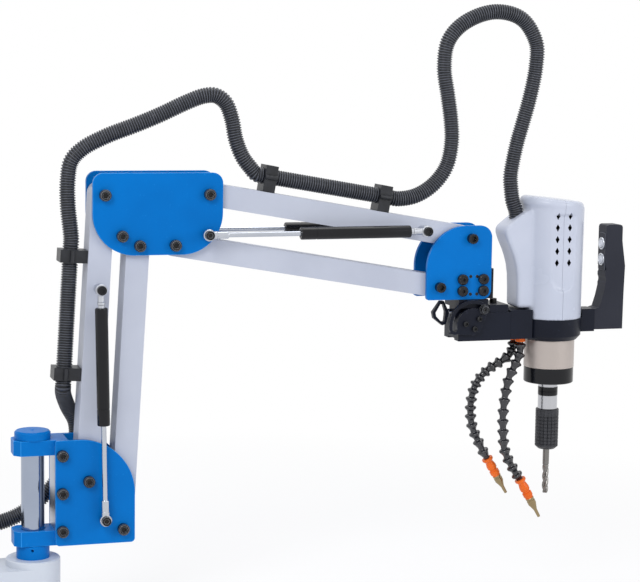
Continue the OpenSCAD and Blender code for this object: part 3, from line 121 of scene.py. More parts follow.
class Finish:
    """One material: its Principled shader and the nodes that feed it."""

    def __init__(self, name, **sockets):
        self.material = bpy.data.materials.new(name)
        self.material.use_nodes = True
        self.tree = self.material.node_tree
        self.shader = self.tree.nodes["Principled BSDF"]
        self.place = self.node("ShaderNodeTexCoord", {}, {}, "Object")
        self.feed(**sockets)

    def node(self, kind, settings, inputs, output=0):
        made = self.tree.nodes.new(kind)
        for name, value in settings.items():
            if name == "stops":
                for stop, (position, level) in zip(made.color_ramp.elements, value):
                    stop.position, stop.color = position, (level, level, level, 1)
            else:
                setattr(made, name, value)
        for key, value in inputs.items():
            if isinstance(value, Wire):
                self.tree.links.new(value.socket, made.inputs[key])
            else:
                made.inputs[key].default_value = value
        return Wire(self, made.outputs[output])

    def feed(self, **sockets):
        for name, value in sockets.items():
            socket = self.shader.inputs[name.replace("_", " ")]
            if isinstance(value, Wire):
                self.tree.links.new(value.socket, socket)
            else:
                socket.default_value = value
        return self

    def noise(self, scale, detail=2.0, stretch=None):
        """Noise on the object's own coordinates, which a stretch scales axis by axis."""
        where = self.place
        if stretch:
            where = self.node("ShaderNodeMapping", {}, {"Vector": where, "Scale": stretch})
        return self.node("ShaderNodeTexNoise", {}, {"Vector": where, "Scale": scale, "Detail": detail})

    def axis(self, name):
        return self.node("ShaderNodeSeparateXYZ", {}, {0: self.place}, "XYZ".index(name))

    def limits(self, value, low, high):
        return self.node("ShaderNodeValToRGB", {"stops": [(low, 0), (high, 1)]}, {0: value})

    def sine(self, value):
        return value.math("SINE", value)

    def mix(self, factor, first, second):
        return self.node("ShaderNodeMix", {"data_type": "RGBA"}, {0: factor, 6: first, 7: second}, 2)

    def bump(self, height, strength, distance):
        return self.node("ShaderNodeBump", {}, {"Height": height, "Strength": strength,
                                                "Distance": distance})


def coated(name, colour, shade, roughness, grain=900, relief=0.08, wear=None, gloss=0.2):
    """Paint or plastic: two close colours, a fine grain in the surface and uneven gloss."""
    f = Finish(name, Specular_IOR_Level=gloss)
    broad, fine = f.noise(9, 3), f.noise(grain, 2)
    tone = f.mix(f.limits(broad, 0.35, 0.7), rgb(colour), rgb(shade))
    if wear:
        specks = f.limits(f.noise(170, 5), 0.66, 0.74)
        tone = f.mix(specks * 0.5, tone, rgb(wear))
    f.feed(Base_Color=tone, Roughness=roughness - 0.05 + broad * 0.1,
           Normal=f.bump(fine, relief, 0.0004))
    return f.material


def turned(name, colour, shade, roughness, stretch, relief=0.12, metallic=1.0):
    """Machined metal: fine tool marks that run across the direction of the stretch."""
    f = Finish(name, Metallic=metallic)
    marks, cloud = f.noise(60, 3, stretch), f.noise(14, 2)
    f.feed(Base_Color=f.mix(cloud, rgb(colour), rgb(shade)),
           Roughness=roughness - 0.06 + marks * 0.12, Normal=f.bump(marks, relief, 0.0003))
    return f.material


def ridged_plastic(name, colour, shade):
    """Corrugated nylon with dust in random patches; the lighter copy that conduit_piece puts on the
    ridge tops is a painted highlight.
    """
    f = Finish(name, Specular_IOR_Level=0.4)
    dust, fine = f.noise(70, 4), f.noise(1500, 1)
    tone = f.mix(f.limits(dust, 0.4, 0.75), rgb(colour), rgb(shade))
    f.feed(Base_Color=tone, Roughness=0.33 + dust * 0.16, Normal=f.bump(fine, 0.1, 0.0002))
    return f.material


KNURL_ROWS, KNURL_RISE = 44, 2600


def knurled(name, colour):
    """Black steel with a crossed knurl pressed into it."""
    f = Finish(name, Metallic=0.35)
    x, y, z = (f.axis(a) for a in "XYZ")
    turn = f.node("ShaderNodeMath", {"operation": "ARCTAN2"}, {0: y, 1: x - TOOL_X})
    rows, rise = turn * KNURL_ROWS, z * KNURL_RISE
    cross = f.sine(rows + rise) * 0.5 + f.sine(rows - rise) * 0.5
    f.feed(Base_Color=f.mix(f.noise(30, 3), rgb(colour), rgb("3A3B40")),
           Roughness=0.36 + f.noise(200) * 0.12, Normal=f.bump(cross, 0.35, 0.0006))
    return f.material


PAINTS = {
    "blue": coated("blue_enamel", "0070C2", "0069B8", 0.36, 700, 0.05, "1C82D0", 0.08),
    # Lighter blue for the rounded edges of the blue parts: a painted highlight where the edges catch
    # light.
    "blue painted highlight": coated("blue_enamel_painted_highlight", "2B9BEA", "1E8EDF", 0.3, 700, 0.05, "52B4F4", 0.3),
    "arm": coated("arm_powder_coat", "BDC2CF", "B5BAC8", 0.42, 1100, 0.12),
    "casting": coated("casting_enamel", "CDD3DC", "C5CBD6", 0.4, 260, 0.22),
    "cover": coated("cover_moulding", "C2C7D5", "BBC1D0", 0.26, 1400, 0.03, gloss=0.35),
    "anodised": coated("black_anodised", "171B27", "131621", 0.36, 1300, 0.08, "2C3040", 0.14),
    # Light grey for the rounded edges of black anodised parts: a painted highlight where the rims
    # catch light.
    "anodised painted highlight": coated("black_anodised_painted_highlight", "7E828E", "6A6E7A", 0.3, 1300, 0.08, gloss=0.4),
    "screw": coated("black_screw", "0D0E11", "15161A", 0.26, 900, 0.1, "2A2B30", 0.3),
    # Light grey for the rounded rims of the black screws: a painted highlight where the rims catch
    # light.
    "screw painted highlight": coated("black_screw_painted_highlight", "7C7F86", "606269", 0.24, 900, 0.1, gloss=0.6),
    "gloss": coated("gloss_black", "0B0C10", "111217", 0.14, 1500, 0.02, gloss=0.3),
    # Near-black: the servo motor's own colour, and painted shade on the vent pockets of the motor
    # cover.
    "dark": coated("motor_dark_and_vent_shade", "08090B", "0D0E10", 0.6, 400, 0.15, gloss=0.05),
    "grip": coated("grip_moulding", "2D2F38", "282A33", 0.46, 2200, 0.22, "3A3C46", 0.14),
    # Lighter grey for the rounded edges of the grip plate: a painted highlight where the edges catch
    # light.
    "grip painted highlight": coated("grip_moulding_painted_highlight", "62656F", "565963", 0.4, 2200, 0.1, gloss=0.3),
    "hose": coated("hose_acetal", "14151B", "1C1D24", 0.2, 1500, 0.03, gloss=0.8),
    "orange": coated("orange_acetal", "EC6C1C", "E06214", 0.3, 1500, 0.03, gloss=0.3),
    "button": coated("button_face", "DDE0E6", "D2D5DC", 0.3, 1500, 0.04, gloss=0.4),
    "rod": turned("polished_rod", "C6CAD2", "B2B7C0", 0.2, (0.2, 0.2, 6)),
    "zinc": turned("zinc_plate", "C9CCD3", "B7BBC3", 0.3, (1.5, 1.5, 3)),
    "shaft": turned("ground_shaft", "A9B2C2", "98A2B4", 0.16, (0.3, 0.3, 14)),
    "alloy": turned("milled_alloy", "B4BAC6", "A2A8B5", 0.34, (8, 0.4, 0.4)),
    "reducer": turned("reducer_shell", "BAB0AA", "ADA49E", 0.36, (0.3, 0.3, 20), 0.1, 0.45),
    "sleeve": turned("chuck_sleeve_steel", "C6C7CB", "AFB0B5", 0.22, (0.3, 0.3, 16)),
    "tap": turned("tap_steel", "8C8A88", "757370", 0.28, (0.5, 0.5, 10)),
    "brass": turned("nozzle_brass", "A8987A", "8C7A58", 0.26, (4, 4, 4)),
    "conduit": ridged_plastic("conduit_nylon", "191B20", "24262C"),
    "conduit ridge highlight": ridged_plastic("conduit_nylon_ridge_highlight", "43464E", "555861"),
    "knurl": knurled("collet_black", "202125"),
}


# ---- Shaping ----

def added(name, data):
    """A new object in the scene."""
    obj = bpy.data.objects.new(name, data)
    bpy.context.scene.collection.objects.link(obj)
    return obj


def as_mesh(name, bm):
    """A mesh from a bmesh, which is freed."""
    mesh = bpy.data.meshes.new(name)
    bm.to_mesh(mesh)
    bm.free()
    return mesh


def piece(name, bm, body, paint, replaces=(), sharp=38, level=True, extra=()):
    """Turns a bmesh into a shown piece; a body given by name carries it, while for a blend's data the
    mesh is only baked where it stands and rides on nothing.
    """
    mesh = as_mesh(name, bm)
    mesh.polygons.foreach_set("use_smooth", [True] * len(mesh.polygons))
    mesh.set_sharp_from_angle(angle=radians(sharp))
    for key in (paint, *extra):
        mesh.materials.append(PAINTS[key])
    obj = added(name, mesh)
    if level:
        obj.modifiers.new("level", "WEIGHTED_NORMAL").keep_sharp = True
    if isinstance(body, str):
        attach(obj, body)
    else:
        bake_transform(obj)
    if replaces:
        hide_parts(*replaces)
    return obj


def merged_copy(node):
    """A CAD node's mesh with its loose triangles joined and its flat faces whole."""
    bm = bmesh.new()
    bm.from_mesh(nodes[node].data)
    bmesh.ops.remove_doubles(bm, verts=bm.verts, dist=3e-6)
    bmesh.ops.dissolve_limit(bm, angle_limit=radians(0.4), verts=bm.verts, edges=bm.edges)
    return bm


def soften(bm, width, segments=2, angle=32, chosen=None):
    """Rounds the edges that turn by more than an angle and returns the new faces."""
    edges = [e for e in bm.edges if len(e.link_faces) == 2
             and e.calc_face_angle(0) > radians(angle) and (chosen is None or chosen(e))]
    made = bmesh.ops.bevel(bm, geom=edges, offset=width * MM, offset_type="OFFSET",
                           segments=segments, profile=0.5, affect="EDGES", clamp_overlap=True,
                           material=-1)
    return made["faces"]


def dressed(node, paint, width=0.6, segments=2, second=None):
    """The CAD node with rounded edges and its finish; a second paint takes the rounded edges, where it
    is a painted highlight, or the faces that SECOND_PAINT names for the node, where it is the part's
    own second colour."""
    bm = merged_copy(node)
    if node in HEADS:
        grown_heads(bm, *HEADS[node])
    rounds = soften(bm, width, segments)
    if node in SECOND_PAINT:
        second, chosen = SECOND_PAINT[node]
        rounds = [f for f in bm.faces if chosen(f.calc_center_median())]
    if second:
        for f in rounds:
            f.material_index = 1
    return piece(node + "_dressed", bm, nodes[node]["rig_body"], paint, [node],
                 extra=[second] if second else [])


def grown_heads(bm, centres, cad_r, shown_r):
    """Widens the screw heads on the plates to the real ones' size and chamfers their rims."""
    for v in bm.verts:
        out = abs(v.co.y) - PLATE_OUT
        for c in centres:
            way = Vector((v.co.x - c.x, 0, v.co.z - c.z))
            r = way.length / MM
            if out < -1e-5 or not 0.8 * cad_r < r < cad_r + 0.3:
                continue
            top = r < cad_r - 0.3
            way *= (shown_r - (1.9 if top else 0)) / r
            sunk = 1 * MM if out > 2 * MM and not top else 0
            v.co = Vector((c.x, v.co.y - sunk * (1 if v.co.y > 0 else -1), c.z)) + Vector(
                (way.x, 0, way.z))


def spun(profile, steps, turn=2 * pi, closed=False):
    """A bmesh of a profile of (radius, height) points in mm, spun round Z."""
    bm = bmesh.new()
    verts = [bm.verts.new((r * MM, 0, z * MM)) for r, z in profile]
    pairs = list(zip(verts, verts[1:])) + ([(verts[-1], verts[0])] if closed else [])
    edges = [bm.edges.new(pair) for pair in pairs]
    bmesh.ops.spin(bm, geom=verts + edges, cent=(0, 0, 0), axis=(0, 0, 1), dvec=(0, 0, 0),
                   angle=turn, steps=steps, use_merge=True)
    bmesh.ops.remove_doubles(bm, verts=bm.verts, dist=1e-6)
    bmesh.ops.recalc_face_normals(bm, faces=bm.faces)
    return bm


def placed(bm, matrix):
    bmesh.ops.transform(bm, matrix=matrix, verts=bm.verts)
    return bm


def join(target, source):
    """Adds one bmesh to another."""
    mesh = as_mesh("part", source)
    target.from_mesh(mesh)
    bpy.data.meshes.remove(mesh)
    return target


def facing(origin, direction):
    """Matrix that puts the origin at a point and turns Z to a direction."""
    return Matrix.Translation(origin) @ Vector(direction).to_track_quat("Z", "Y").to_matrix().to_4x4()


def shaped(bm, name, *modifiers):
    """A bmesh after modifiers given as (type, settings)."""
    obj = added(name, as_mesh(name, bm))
    for kind, settings in modifiers:
        modifier = obj.modifiers.new(kind, kind)
        for key, value in settings.items():
            setattr(modifier, key, value)
    made = bmesh.new()
    made.from_object(obj, bpy.context.evaluated_depsgraph_get())
    bpy.data.objects.remove(obj)
    return made


# ---- Camera, light and floor ----

def photo_camera():
    """The camera fitted to the photograph: its turns in radians and its place in metres."""
    yaw, pitch, roll = 0.30133, 0.12119, 0.01413
    forward = Vector((sin(yaw) * cos(pitch), cos(yaw) * cos(pitch), -sin(pitch)))
    level = Vector((cos(yaw), -sin(yaw), 0))
    above = level.cross(forward)
    right = cos(roll) * level + sin(roll) * above
    up = cos(roll) * above - sin(roll) * level
    data = bpy.data.cameras.new("photo_camera")
    data.sensor_width, data.lens, data.shift_x = 36, 107.06, -0.0083
    data.clip_start, data.clip_end = 0.05, 60
    camera = added("photo_camera", data)
    turn = Matrix((right, up, -forward)).transposed().to_4x4()
    camera.matrix_world = Matrix.Translation((-0.47725, -3.21967, 1.00209)) @ turn
    bpy.context.scene.camera = camera


def softbox(name, place, aim, size, power):
    data = bpy.data.lights.new(name, "AREA")
    data.shape, data.size, data.energy = "SQUARE", size, power
    lamp = added(name, data)
    lamp.matrix_world = facing(Vector(place), Vector(place) - Vector(aim))


def seen_rays(tree):
    """Socket that is 1 for the rays that show the white room: camera, glossy and transmission."""
    ray = tree.nodes.new("ShaderNodeLightPath")
    total = ray.outputs["Is Camera Ray"]
    for name in ("Is Glossy Ray", "Is Transmission Ray"):
        add = tree.nodes.new("ShaderNodeMath")
        add.operation, add.use_clamp = "ADD", True
        tree.links.new(total, add.inputs[0])
        tree.links.new(ray.outputs[name], add.inputs[1])
        total = add.outputs[0]
    return total


def mixed(tree, share, first, second, output):
    """Joins two shaders by a share and leads them to an output node."""
    mixer = tree.nodes.new("ShaderNodeMixShader")
    for k, socket in enumerate((share, first, second)):
        tree.links.new(socket, mixer.inputs[k])
    tree.links.new(mixer.outputs[0], tree.nodes[output].inputs[0])


# How white the floor is right below the object
SHADED_WHITE = 0.72


def pale_world():
    """A world that lights the object softly and is white where a ray shows it."""
    world = bpy.data.worlds.new("studio")
    bpy.context.scene.world = world
    world.use_nodes = True
    tree = world.node_tree
    back = tree.nodes["Background"]
    shown = tree.nodes.new("ShaderNodeBackground")
    shown.inputs["Color"].default_value = (1, 1, 1, 1)
    back.inputs["Color"].default_value = (0.93, 0.95, 1, 1)
    back.inputs["Strength"].default_value = 0.55
    mixed(tree, seen_rays(tree), back.outputs[0], shown.outputs[0], "World Output")


def white_floor():
    """A floor that keeps the object's shadow near it and is white further off."""
    finish = Finish("floor_white", Roughness=0.9, Base_Color=(0.9, 0.9, 0.92, 1))
    tree = finish.tree
    glow = tree.nodes.new("ShaderNodeEmission")
    far = (finish.axis("X") - 0.4) ** 2 + abs(finish.axis("Y")) ** 2
    white = finish.limits(far * 0.1, 0.05, 0.3) * (1 - SHADED_WHITE) + SHADED_WHITE
    share = white * Wire(finish, seen_rays(tree))
    mixed(tree, share.socket, finish.shader.outputs[0], glow.outputs[0], "Material Output")
    bm = bmesh.new()
    bmesh.ops.create_grid(bm, x_segments=1, y_segments=1, size=14)
    floor = added("floor", as_mesh("floor", bm))
    floor.data.materials.append(finish.material)


def studio():
    """White room: soft lamps, a pale world and a floor that reads white to the camera."""
    middle = (0.5, 0, 0.6)
    softbox("key_lamp", (-1.6, -2.6, 2.8), middle, 1.6, 62)
    softbox("fill_lamp", (2.8, -2.4, 1.6), middle, 1.8, 30)
    softbox("top_lamp", (0.5, 0.6, 3.2), middle, 2.2, 36)
    pale_world()
    white_floor()


bpy.context.scene.view_settings.view_transform = "Standard"
photo_camera()
studio()


# ---- Cable conduit ----

def smooth_route(points, step):
    """Equally spaced points of a smooth curve through given points."""
    p = [points[0] * 2 - points[1], *points, points[-1] * 2 - points[-2]]
    fine = []
    for a, b, c, d in zip(p, p[1:], p[2:], p[3:]):
        t0, t1 = 0, (b - a).length ** 0.5
        t2 = t1 + (c - b).length ** 0.5
        t3 = t2 + (d - c).length ** 0.5
        for i in range(24):
            t = t1 + (t2 - t1) * i / 24
            ab = a.lerp(b, (t - t0) / (t1 - t0))
            bc = b.lerp(c, (t - t1) / (t2 - t1))
            cd = c.lerp(d, (t - t2) / (t3 - t2))
            fine.append(ab.lerp(bc, (t - t0) / (t2 - t0)).lerp(bc.lerp(cd, (t - t1) / (t3 - t1)),
                                                               (t - t1) / (t2 - t1)))
    fine.append(points[-1])
    route, left = [fine[0]], step
    for a, b in zip(fine, fine[1:]):
        gap = (b - a).length
        while gap >= left and gap > 0:
            a = a.lerp(b, left / gap)
            route.append(a)
            gap, left = gap - left, step
        left -= gap
    return route


def bent_along(bm, route, step, start):
    """Bends a straight bmesh that stands on Z = 0 along a route, from a point's number on."""
    ways = [(b - a).normalized() for a, b in zip(route, route[1:])]
    side = ways[0].orthogonal().normalized()
    frames = []
    for way in ways:
        side = (side - way * side.dot(way)).normalized()
        frames.append((side, way.cross(side)))
    last = len(ways) - 1
    for v in bm.verts:
        at = start + v.co.z / step
        i = max(0, min(last, int(at)))
        j = min(last, i + 1)
        u = at - i
        one = frames[i][0].lerp(frames[j][0], u)
        two = frames[i][1].lerp(frames[j][1], u)
        v.co = route[i] + ways[i] * (u * step) + one * v.co.x + two * v.co.y
    bmesh.ops.recalc_face_normals(bm, faces=bm.faces)
    return bm


def at_mm(points, origin=(0, 0, 0)):
    """Points in mm from an origin; points of two numbers lie in the arms' middle plane."""
    return [Vector(origin) + Vector(p if len(p) == 3 else (p[0], 0, p[1])) * MM for p in points]


CONDUIT_R, CONDUIT_OFF, RIDGE = 14, 47, 4.4
STEP = RIDGE * MM
BOSS_TOP = Vector((0, 0, 140)) * MM
lower_way = (ELBOW - SHOULDER).normalized()
upper_way = (WRIST - ARM_ROOT).normalized()
beside_lower = Vector((-lower_way.z, 0, lower_way.x)) * CONDUIT_OFF * MM
beside_upper = Vector((-upper_way.z, 0, upper_way.x)) * CONDUIT_OFF * MM


def on_lower(s):
    """The conduit's middle at a length in mm along the lower arm."""
    return SHOULDER + lower_way * s * MM + beside_lower


def on_upper(s):
    return ARM_ROOT + upper_way * s * MM + beside_upper


ROUTE = smooth_route([
    *at_mm([(-150, 22, 136), (-150, 22, 158)]),
    *at_mm([(-138, 36, 38), (-104, 50, 44), (-49, 60, 49), (-11, 64, 62), (33, 65, 95),
            (66, 64, 138), (84, 60, 182), (84, 53, 222), (68, 43, 254), (56, 18, 282)], BOSS_TOP),
    *[on_lower(s) for s in (160, 167, 240, 320, 400, 414)],
    *at_mm([(-57, -18), (-57, 24), (-51, 56), (-33, 76), (6, 97), (61, 118), (100, 134),
            (152, 158), (180, 168), (200, 169), (218, 157), (230, 128), (237, 94), (250, 62),
            (264, 44)], ELBOW),
    *[on_upper(s) for s in (86, 93, 175, 255, 338, 352)],
    *at_mm([(-97, 75), (-63, 95), (-38, 128), (-29, 172), (-31, 210), (-38, 255), (-46, 305),
            (-39, 353), (-8, 386), (50, 406), (102, 394), (131, 352), (132, 310), (121, 251),
            (108, 204), (99, 172), (92, 140)], WRIST),
    *at_mm([(-86, 260), (-84, 236), (-81, 217), (-74, 197), (-72, 172)], (TOOL_X, 0, COVER_FOOT)),
], STEP)


def nearest(point):
    """Number of the route's point that is nearest to a point."""
    return min(range(len(ROUTE)), key=lambda i: (ROUTE[i] - point).length)


def conduit_piece(name, first, last, body, node):
    """One stretch of the corrugated conduit, from ridge to ridge of the route."""
    count = last - first
    outline = []
    for k in range(count):
        z = k * RIDGE
        outline += [(11.7, z), (11.9, z + 1.5), (13.6, z + 1.9), (CONDUIT_R, z + 2.5),
                    (CONDUIT_R, z + 3.1), (13.6, z + 3.7), (11.9, z + 4.1)]
    outline += [(11.7, count * RIDGE)]
    bm = spun(outline, 22)
    for f in bm.faces:
        c = f.calc_center_median()
        # Faces beyond 13.3 mm, the ridge tops, take the lighter second paint: a painted highlight
        # where the ridges catch light.
        f.material_index = int(Vector((c.x, c.y)).length > 13.3 * MM)
    bent_along(bm, ROUTE, STEP, first)
    piece(name, bm, body, "conduit", [node], 50, False, ["conduit ridge highlight"])


def conduit():
    """The whole conduit, cut where one joint's bend ends and the next one's begins."""
    cuts = [0, nearest(Vector((0.0, 0.064, 0.213))), nearest(on_lower(167)),
            nearest(on_lower(400)), nearest(ELBOW + Vector((0.09, 0, 0.130))),
            nearest(on_upper(93)), nearest(on_upper(338)), nearest(WRIST + Vector((-0.03, 0, 0.18))),
            nearest(WRIST + Vector((-0.044, 0, 0.295))), len(ROUTE) - 1]
    bodies = [
        ("base", "turret", (-0.13, 0, 0.18), (-0.01, 0, 0.18)),
        ("turret", "link_a", (0.06, 0.06, 0.27), (0.06, 0.02, 0.40)),
        "link_a",
        ("link_a", "elbow", (0.062, 0, 0.72), (0.15, 0, 0.86)),
        ("elbow", "link_c", (0.25, 0, 0.915), (0.37, 0, 0.83)),
        "link_c",
        ("link_c", "wrist", (0.66, 0, 0.757), (0.755, 0, 0.85)),
        ("wrist", "swivel", (0.75, 0, 0.87), (0.75, 0, 0.975)),
        ("swivel", "head", (0.745, 0, 1.00), (0.90, 0, 0.80))]
    covers = ["conduit_lower", "conduit_lower", "conduit_link_a", "conduit_elbow", "conduit_elbow",
              "conduit_link_c", "conduit_head", "conduit_head", "conduit_head"]
    for k, (body, node) in enumerate(zip(bodies, covers)):
        conduit_piece(f"conduit_{k + 1}", cuts[k], cuts[k + 1], body, node)


# ---- Air hoses ----

REAR_LINE = [(-67, -8.5), (-67, -23), (-75, -37), (-90, -47), (-104, -54), (-117, -62),
             (-128, -72), (-137, -83), (-143, -95), (-147, -110), (-149, -126), (-149, -142),
             (-147, -159), (-142, -176), (-134, -192), (-125, -210), (-114, -228), (-74, -296)]
FRONT_LINE = [(-64, -8.5), (-64, -26), (-69, -42), (-77, -57), (-85, -74), (-89, -92),
              (-92, -110), (-94, -130), (-95, -149), (-94, -168), (-93, -187), (-91, -205),
              (-85, -222), (-76, -238), (-67, -253), (-58, -265), (-17, -339)]
HOSE_R = 10.8


def air_hose(name, line, y, node):
    """A hose of cup and ball segments, its orange socket and its brass tip."""
    points = at_mm(line, (TOOL_X, y * MM, BAR_FOOT))
    beads = bmesh.new()
    for a, b in zip(points[:-2], points[1:-1]):
        size = (b - a).length / MM
        bead = spun([(3.4, -2.5), (5.4, -2.5), (5.7, 0.2), (6.4, 1.3), (9.2, 2.8), (10.4, 3.6),
                     (HOSE_R, 4.6), (HOSE_R, 6.1), (10.3, 7.2), (9.3, 8.3), (7.3, size * 0.66),
                     (6.3, size * 0.76), (5.9, size * 0.86), (5.9, size), (4.6, size + 0.5)],
                    28, closed=True)
        join(beads, placed(bead, facing(a, b - a)))
    piece(name, beads, "head", "hose", [node], 44)
    start, way = points[-2], points[-1] - points[-2]
    total = way.length / MM
    socket = spun([(3.2, 0.2), (9.6, 0.2), (10.4, 0.9), (10.6, 3.2), (10.2, 4.6), (8.6, 6.4),
                   (7.2, 9), (7.4, 11), (8.8, total * 0.2), (9.2, total * 0.24),
                   (8.8, total * 0.29), (7.2, total * 0.31), (7.0, total * 0.345),
                   (8.9, total * 0.36), (9.0, total * 0.44), (8.4, total * 0.455),
                   (7.6, total * 0.46), (7.6, total * 0.5), (4, total * 0.5)], 32, closed=True)
    piece(name + "_socket", placed(socket, facing(start, way)), "head", "orange",
          ["hose_fittings"], 30)
    tip = spun([(2, total * 0.48), (7.2, total * 0.49), (7.9, total * 0.5), (7.9, total * 0.53),
                (6.9, total * 0.54), (6.9, total * 0.56), (7.9, total * 0.57),
                (7.7, total * 0.66), (6.6, total * 0.69), (3.7, total * 0.8),
                (3.3, total * 0.81), (2.8, total - 0.6), (2.5, total), (1.4, total),
                (1.4, total * 0.6)], 24, closed=True)
    piece(name + "_tip", placed(tip, facing(start, way)), "head", "brass",
          ["hose_fittings"], 30)
    root = spun([(3, 1), (3, -6.8), (8.9, -6.8), (9.5, -6.2), (9.5, -3.4), (8.9, -2.8),
                 (8.9, -1.6), (9.5, -1), (9.5, 1)], 32, closed=True)
    place = Matrix.Translation((points[0].x, y * MM, BAR_FOOT))
    piece(name + "_root", placed(root, place), "head", "orange",
          ["hose_fittings"], 30)


# ---- Motor cover ----

def cut_off(bm, point, normal):
    """Removes what lies beyond a plane and closes the cut."""
    cut = bmesh.ops.bisect_plane(bm, geom=bm.verts[:] + bm.edges[:] + bm.faces[:],
                                 plane_co=point, plane_no=normal, clear_outer=True, dist=1e-6)
    rim = [g for g in cut["geom_cut"] if isinstance(g, bmesh.types.BMEdge)]
    bmesh.ops.holes_fill(bm, edges=rim, sides=0)


def extruded(outline, y0, y1):
    """A bmesh of an outline of (x, z) points in mm, extruded along Y."""
    bm = bmesh.new()
    face = bm.faces.new([bm.verts.new((x * MM, y0 * MM, z * MM)) for x, z in outline])
    made = bmesh.ops.extrude_face_region(bm, geom=[face])
    moved = [g for g in made["geom"] if isinstance(g, bmesh.types.BMVert)]
    bmesh.ops.translate(bm, vec=(0, (y1 - y0) * MM, 0), verts=moved)
    bmesh.ops.recalc_face_normals(bm, faces=bm.faces)
    return bm


COVER_R, COVER_TOP_R, COVER_H, BOX_HALF = 56.5, 58, 220, 29
SEAM_HALF = 0.25
VOXELS = ("REMESH", {"mode": "VOXEL", "voxel_size": 1.7 * MM})
TOP_SLOPE = Matrix.Translation((0, 0, COVER_H * MM)) @ Matrix.Rotation(radians(6.3), 4, "Y")


def cover_blank():
    """The cover's body, its sloping rounded top and the cable housing, grown into one moulding."""
    body = spun([(0, 0), (COVER_R, 0), (COVER_TOP_R + 0.2, COVER_H + 20), (0, COVER_H + 20)], 96)
    cut_off(body, TOP_SLOPE @ Vector((0, 0, -0.01)), TOP_SLOPE.to_3x3() @ Vector((0, 0, 1)))
    top = spun([(0, -10)] + [(COVER_TOP_R - 8.5 + 10 * cos(radians(a)), 10 * sin(radians(a)))
                             for a in range(-90, 91, 15)] + [(0, 10)], 96)
    placed(top, TOP_SLOPE @ Matrix.Translation((-1.5 * MM, 0, -10 * MM)))
    join(body, top)
    foot, h = 20.3, COVER_H
    arc = [(-88 + 16 * cos(radians(a)), h - 60 + 16 * sin(radians(a))) for a in range(200, 119, -16)]
    housing = extruded([(-20, foot), (-77.5, foot), (-78, h - 168), (-79, h - 141), (-82, h - 121),
                        (-86, h - 107), (-91, h - 94), (-98, h - 79)]
                       + arc + [(-74, h - 29), (-44, h - 13), (-20, h - 13)], -BOX_HALF, BOX_HALF)
    soften(housing, 7, 4, 20)
    join(body, housing)
    return shaped(body, "cover_blank", VOXELS)


def difference(bm, name, tool, *finishing):
    """A bmesh less another one, after further modifiers."""
    tool = added("cutter", as_mesh("cutter", tool))
    made = shaped(bm, name, ("BOOLEAN", {"operation": "DIFFERENCE", "object": tool,
                                         "solver": "EXACT"}), *finishing)
    bpy.data.objects.remove(tool)
    return made


def motor_cover():
    """Both halves of the cover, with the sunk panels and the diamond vents cut out; the vents' walls
    and floors take the near-black paint as painted shade of the hollow inside.
    """
    panel, vents = bmesh.new(), bmesh.new()
    flat, foot = 51.5, COVER_H - 142
    scoop = [(25 * cos(radians(a)), foot + 25 * sin(radians(a))) for a in range(180, 361, 9)]
    for side in (-1, 1):
        near, far = sorted((side * flat, side * 70))
        block = extruded(scoop + [(25, COVER_H - 26), (-25, COVER_H - 26)], near, far)
        soften(block, 6, 5, 60, lambda e: all(abs(v.co.y) < (flat + 0.1) * MM for v in e.verts))
        join(panel, block)
        near, far = sorted((side * 44, side * 70))
        for row in range(5):
            for x in (-12, 12):
                z = COVER_H - 29 - row * 21.4
                join(vents, extruded([(x - 4, z), (x, z - 7), (x + 4, z), (x, z + 7)], near, far))
    blank = difference(cover_blank(), "cover", panel, VOXELS,
                       ("SMOOTH", {"factor": 0.5, "iterations": 5}))
    blank = difference(blank, "cover", vents)
    for name, side in (("motor_cover_left", -1), ("motor_cover_right", 1)):
        half = blank.copy()
        cut_off(half, (side * SEAM_HALF * MM, 0, 0), (-side, 0, 0))
        for f in half.faces:
            c = f.calc_center_median() / MM
            # Faces in the vent pockets get the near-black paint: painted shade standing in for the
            # dark hollow inside the cover.
            f.material_index = int(43.9 < abs(c.y) < 51.4 and abs(c.x) < 18
                                   and 90 < c.z < COVER_H - 20)
        placed(half, Matrix.Translation((TOOL_X, 0, COVER_FOOT)))
        piece(name + "_moulding", half, "head", "cover", [name], 40, False,
              ["dark"])
    blank.free()


# ---- Gas springs ----

SPRING_Y, NECK, TUBE = 50, 31, 203


def spring_eye():
    """A rod end's eye round its stud, along Y."""
    ring = spun([(5.1, -7), (9.0, -7), (10.2, -5.8), (10.2, 5.8), (9.0, 7), (5.1, 7)], 40, closed=True)
    return placed(ring, Matrix.Rotation(pi / 2, 4, "X"))


